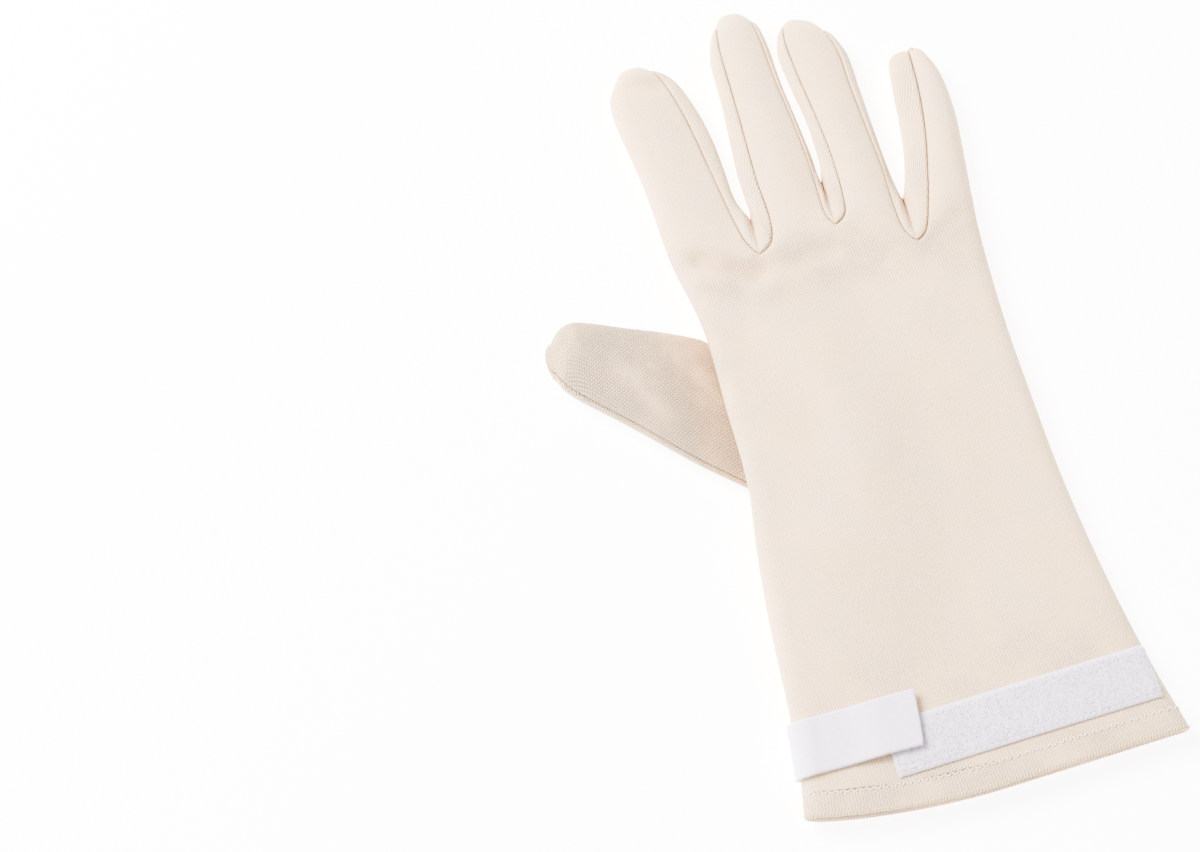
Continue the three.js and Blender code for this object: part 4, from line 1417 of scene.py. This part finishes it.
def make_stage():
    scene = bpy.context.scene
    settings = scene.glove_stage
    bm = bmesh.new()
    bmesh.ops.create_grid(bm, x_segments=2, y_segments=2, size=settings.floor_size)
    bmesh.ops.translate(bm, verts=bm.verts, vec=(0, 0, -0.0003))
    mesh = mesh_of(bm, "floor")
    material, nodes, surface = new_material("Pale Floor")
    nodes.feed(surface, {"Base Color": (*settings.floor_colour, 1), "Roughness": 0.9})
    nodes.feed(surface, {"Emission Color": (1, 1, 1, 1), "Emission Strength": settings.floor_glow})
    mesh.materials.append(material)
    floor = add_object("floor", mesh)
    floor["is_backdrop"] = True

    world = bpy.data.worlds.new("Studio")
    world.use_nodes = True
    sky = world.node_tree.nodes["Background"]
    sky.inputs["Color"].default_value = (*settings.light_colour, 1)
    sky.inputs["Strength"].default_value = settings.ambient
    scene.world = world

    key = bpy.data.lights.new("Key Light", "AREA")
    key.shape, key.size, key.size_y, key.energy = "RECTANGLE", 1.2, 1.0, settings.key_power
    key.color = settings.light_colour
    aim(add_object("Key Light", key), Vector((0, 0, 0)), math.radians(-135), math.radians(42), 1.9)

    camera = bpy.data.cameras.new("Camera")
    camera.lens, camera.sensor_width = settings.lens, 36
    camera.clip_start, camera.clip_end = 0.01, 20
    scene.camera = add_object("Camera", camera)
    target = TO_ROW @ Vector((*settings.target, 0.0))
    aim(scene.camera, target, settings.azimuth, settings.elevation, settings.distance)


# What a user can change


class GLOVE_PG_cloth(bpy.types.PropertyGroup):
    """Sizes and colours of the knitted cloth."""

    thickness: bpy.props.FloatProperty(
        name="Thickness", description="Thickness of the cloth", default=0.0012, unit="LENGTH"
    )
    wale_pitch: bpy.props.FloatProperty(
        name="Wale Pitch",
        description="Distance between two columns of stitches",
        default=0.00115,
        unit="LENGTH",
    )
    course_pitch: bpy.props.FloatProperty(
        name="Course Pitch",
        description="Distance between two rows of stitches",
        default=0.001,
        unit="LENGTH",
    )
    seam_depth: bpy.props.FloatProperty(
        name="Seam Depth",
        description="How deep the cloth rolls in at a seam",
        default=0.0009,
        unit="LENGTH",
    )
    cotton: bpy.props.FloatVectorProperty(
        name="Cotton", description="Colour of the cloth", default=(0.9, 0.65, 0.4), subtype="COLOR"
    )
    # The colour of the painted shade along the seams and joints
    seam_thread: bpy.props.FloatVectorProperty(
        name="Seam Thread",
        description="Colour in the bottom of a seam",
        default=(0.12, 0.07, 0.045),
        subtype="COLOR",
    )
    # The colour of the painted warm shade in folds, pockets, beside seams and under the hand
    warm_shade: bpy.props.FloatVectorProperty(
        name="Warm Shade",
        description="Tint where light comes through the folds",
        default=(0.86, 0.62, 0.42),
        subtype="COLOR",
    )


class GLOVE_PG_stitching(bpy.types.PropertyGroup):
    """Sizes and colour of the visible stitches."""

    pitch: bpy.props.FloatProperty(
        name="Stitch Pitch", description="Length of one stitch", default=0.0014, unit="LENGTH"
    )
    thickness: bpy.props.FloatProperty(
        name="Thread Thickness", description="Thickness of the thread", default=0.0004, unit="LENGTH"
    )
    thread: bpy.props.FloatVectorProperty(
        name="Thread", description="Colour of the thread", default=(0.93, 0.87, 0.88), subtype="COLOR"
    )


class GLOVE_PG_closure(bpy.types.PropertyGroup):
    """Sizes and colours of the hook-and-loop closure."""

    loop_colour: bpy.props.FloatVectorProperty(
        name="Loop Strip",
        description="Colour of the loop strip",
        default=(0.84, 0.765, 0.97),
        subtype="COLOR",
    )
    hook_colour: bpy.props.FloatVectorProperty(
        name="Hook Tab",
        description="Colour of the hook tab's back",
        default=(0.81, 0.735, 0.93),
        subtype="COLOR",
    )
    yarn: bpy.props.FloatProperty(
        name="Yarn Thickness", description="Thickness of the loops' yarn", default=0.00015, unit="LENGTH"
    )
    pile_loops: bpy.props.IntProperty(
        name="Loops", description="Number of loops on the strip", default=7600, min=0
    )


class GLOVE_PG_stage(bpy.types.PropertyGroup):
    """Floor, light and camera."""

    floor_size: bpy.props.FloatProperty(
        name="Floor Size", description="Half the side of the floor", default=3.0, unit="LENGTH"
    )
    floor_colour: bpy.props.FloatVectorProperty(
        name="Floor", description="Colour of the floor", default=(0.95, 0.95, 0.95), subtype="COLOR"
    )
    floor_glow: bpy.props.FloatProperty(
        name="Floor Glow", description="Light that the white floor gives of itself", default=8.0
    )
    ambient: bpy.props.FloatProperty(
        name="Ambient", description="Strength of the light all round", default=1.55
    )
    key_power: bpy.props.FloatProperty(
        name="Key Light", description="Power of the key light", default=300.0
    )
    light_colour: bpy.props.FloatVectorProperty(
        name="Light",
        description="Colour of the studio light",
        default=(1.0, 0.94, 0.86),
        subtype="COLOR",
    )
    lens: bpy.props.FloatProperty(name="Lens", description="Focal length in millimetres", default=85.0)
    distance: bpy.props.FloatProperty(
        name="Distance", description="From the camera to its target", default=1.0483, unit="LENGTH"
    )
    azimuth: bpy.props.FloatProperty(
        name="Azimuth",
        description="Direction of view, 0 towards the fingertips",
        default=math.radians(-17.5),
        unit="ROTATION",
    )
    elevation: bpy.props.FloatProperty(
        name="Elevation",
        description="Height of the camera",
        default=math.radians(70),
        unit="ROTATION",
    )
    target: bpy.props.FloatVectorProperty(
        name="Target",
        description="The picture's middle on the surface, in the glove's millimetres",
        size=2,
        default=(-93.518, 171.605),
    )


# Operators


class GLOVE_OT_hand(bpy.types.Operator):
    """Back and palm, cut in one with the fingers."""

    bl_idname = "glove.hand"
    bl_label = "Hand Cloth"

    def execute(self, context):
        make_hand_cloth()
        return {"FINISHED"}


class GLOVE_OT_fourchettes(bpy.types.Operator):
    """The three strips of cloth that close the sides of the fingers."""

    bl_idname = "glove.fourchettes"
    bl_label = "Fourchettes"

    def execute(self, context):
        for web in WEB_NAMES:
            piece, width, length = make_fourchette(web)
        return {"FINISHED"}


class GLOVE_OT_thumb(bpy.types.Operator):
    """The thumb, let into the oval of the palm."""

    bl_idname = "glove.thumb"
    bl_label = "Thumb"

    def execute(self, context):
        make_thumb()
        return {"FINISHED"}


class GLOVE_OT_hem(bpy.types.Operator):
    """The turned hem of the cuff, with the loops of its folded edge and its stitches."""

    bl_idname = "glove.hem"
    bl_label = "Hem"

    def execute(self, context):
        make_hem()
        make_edge_loops()
        make_stitching()
        return {"FINISHED"}


class GLOVE_OT_closure(bpy.types.Operator):
    """The fuzzy loop strip and the smooth hook tab."""

    bl_idname = "glove.closure"
    bl_label = "Closure"

    def execute(self, context):
        make_loop_strip()
        make_loop_pile()
        make_tape_threads()
        make_hook_tab()
        return {"FINISHED"}


class GLOVE_OT_stage(bpy.types.Operator):
    """Pale floor, soft light and the camera."""

    bl_idname = "glove.stage"
    bl_label = "Stage"

    def execute(self, context):
        make_stage()
        return {"FINISHED"}


OPERATORS = (
    GLOVE_OT_stage,
    GLOVE_OT_thumb,
    GLOVE_OT_hand,
    GLOVE_OT_fourchettes,
    GLOVE_OT_hem,
    GLOVE_OT_closure,
)


class GLOVE_PT_panel(bpy.types.Panel):
    """Lists what the glove liner is made of."""

    bl_idname = "GLOVE_PT_panel"
    bl_label = "Glove Liner"
    bl_space_type = "VIEW_3D"
    bl_region_type = "UI"
    bl_category = "Glove Liner"

    def draw(self, context):
        for operator in OPERATORS:
            self.layout.operator(operator.bl_idname)


GROUPS = {
    "glove_cloth": GLOVE_PG_cloth,
    "glove_stitching": GLOVE_PG_stitching,
    "glove_closure": GLOVE_PG_closure,
    "glove_stage": GLOVE_PG_stage,
}
CLASSES = (*GROUPS.values(), *OPERATORS, GLOVE_PT_panel)


def register():
    for item in CLASSES:
        bpy.utils.register_class(item)
    for name, group in GROUPS.items():
        setattr(bpy.types.Scene, name, bpy.props.PointerProperty(type=group))


def unregister():
    for name in GROUPS:
        delattr(bpy.types.Scene, name)
    for item in reversed(CLASSES):
        bpy.utils.unregister_class(item)


def main():
    register()
    bpy.ops.glove.stage()
    bpy.ops.glove.thumb()
    bpy.ops.glove.hand()
    bpy.ops.glove.fourchettes()
    bpy.ops.glove.hem()
    bpy.ops.glove.closure()
    sizes = {"cad": CAD_BOX, "visual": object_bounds()}
    for name, corners in sizes.items():
        sizes[name] = [[float(value) for value in corner] for corner in corners]


if __name__ == "__main__":
    main()
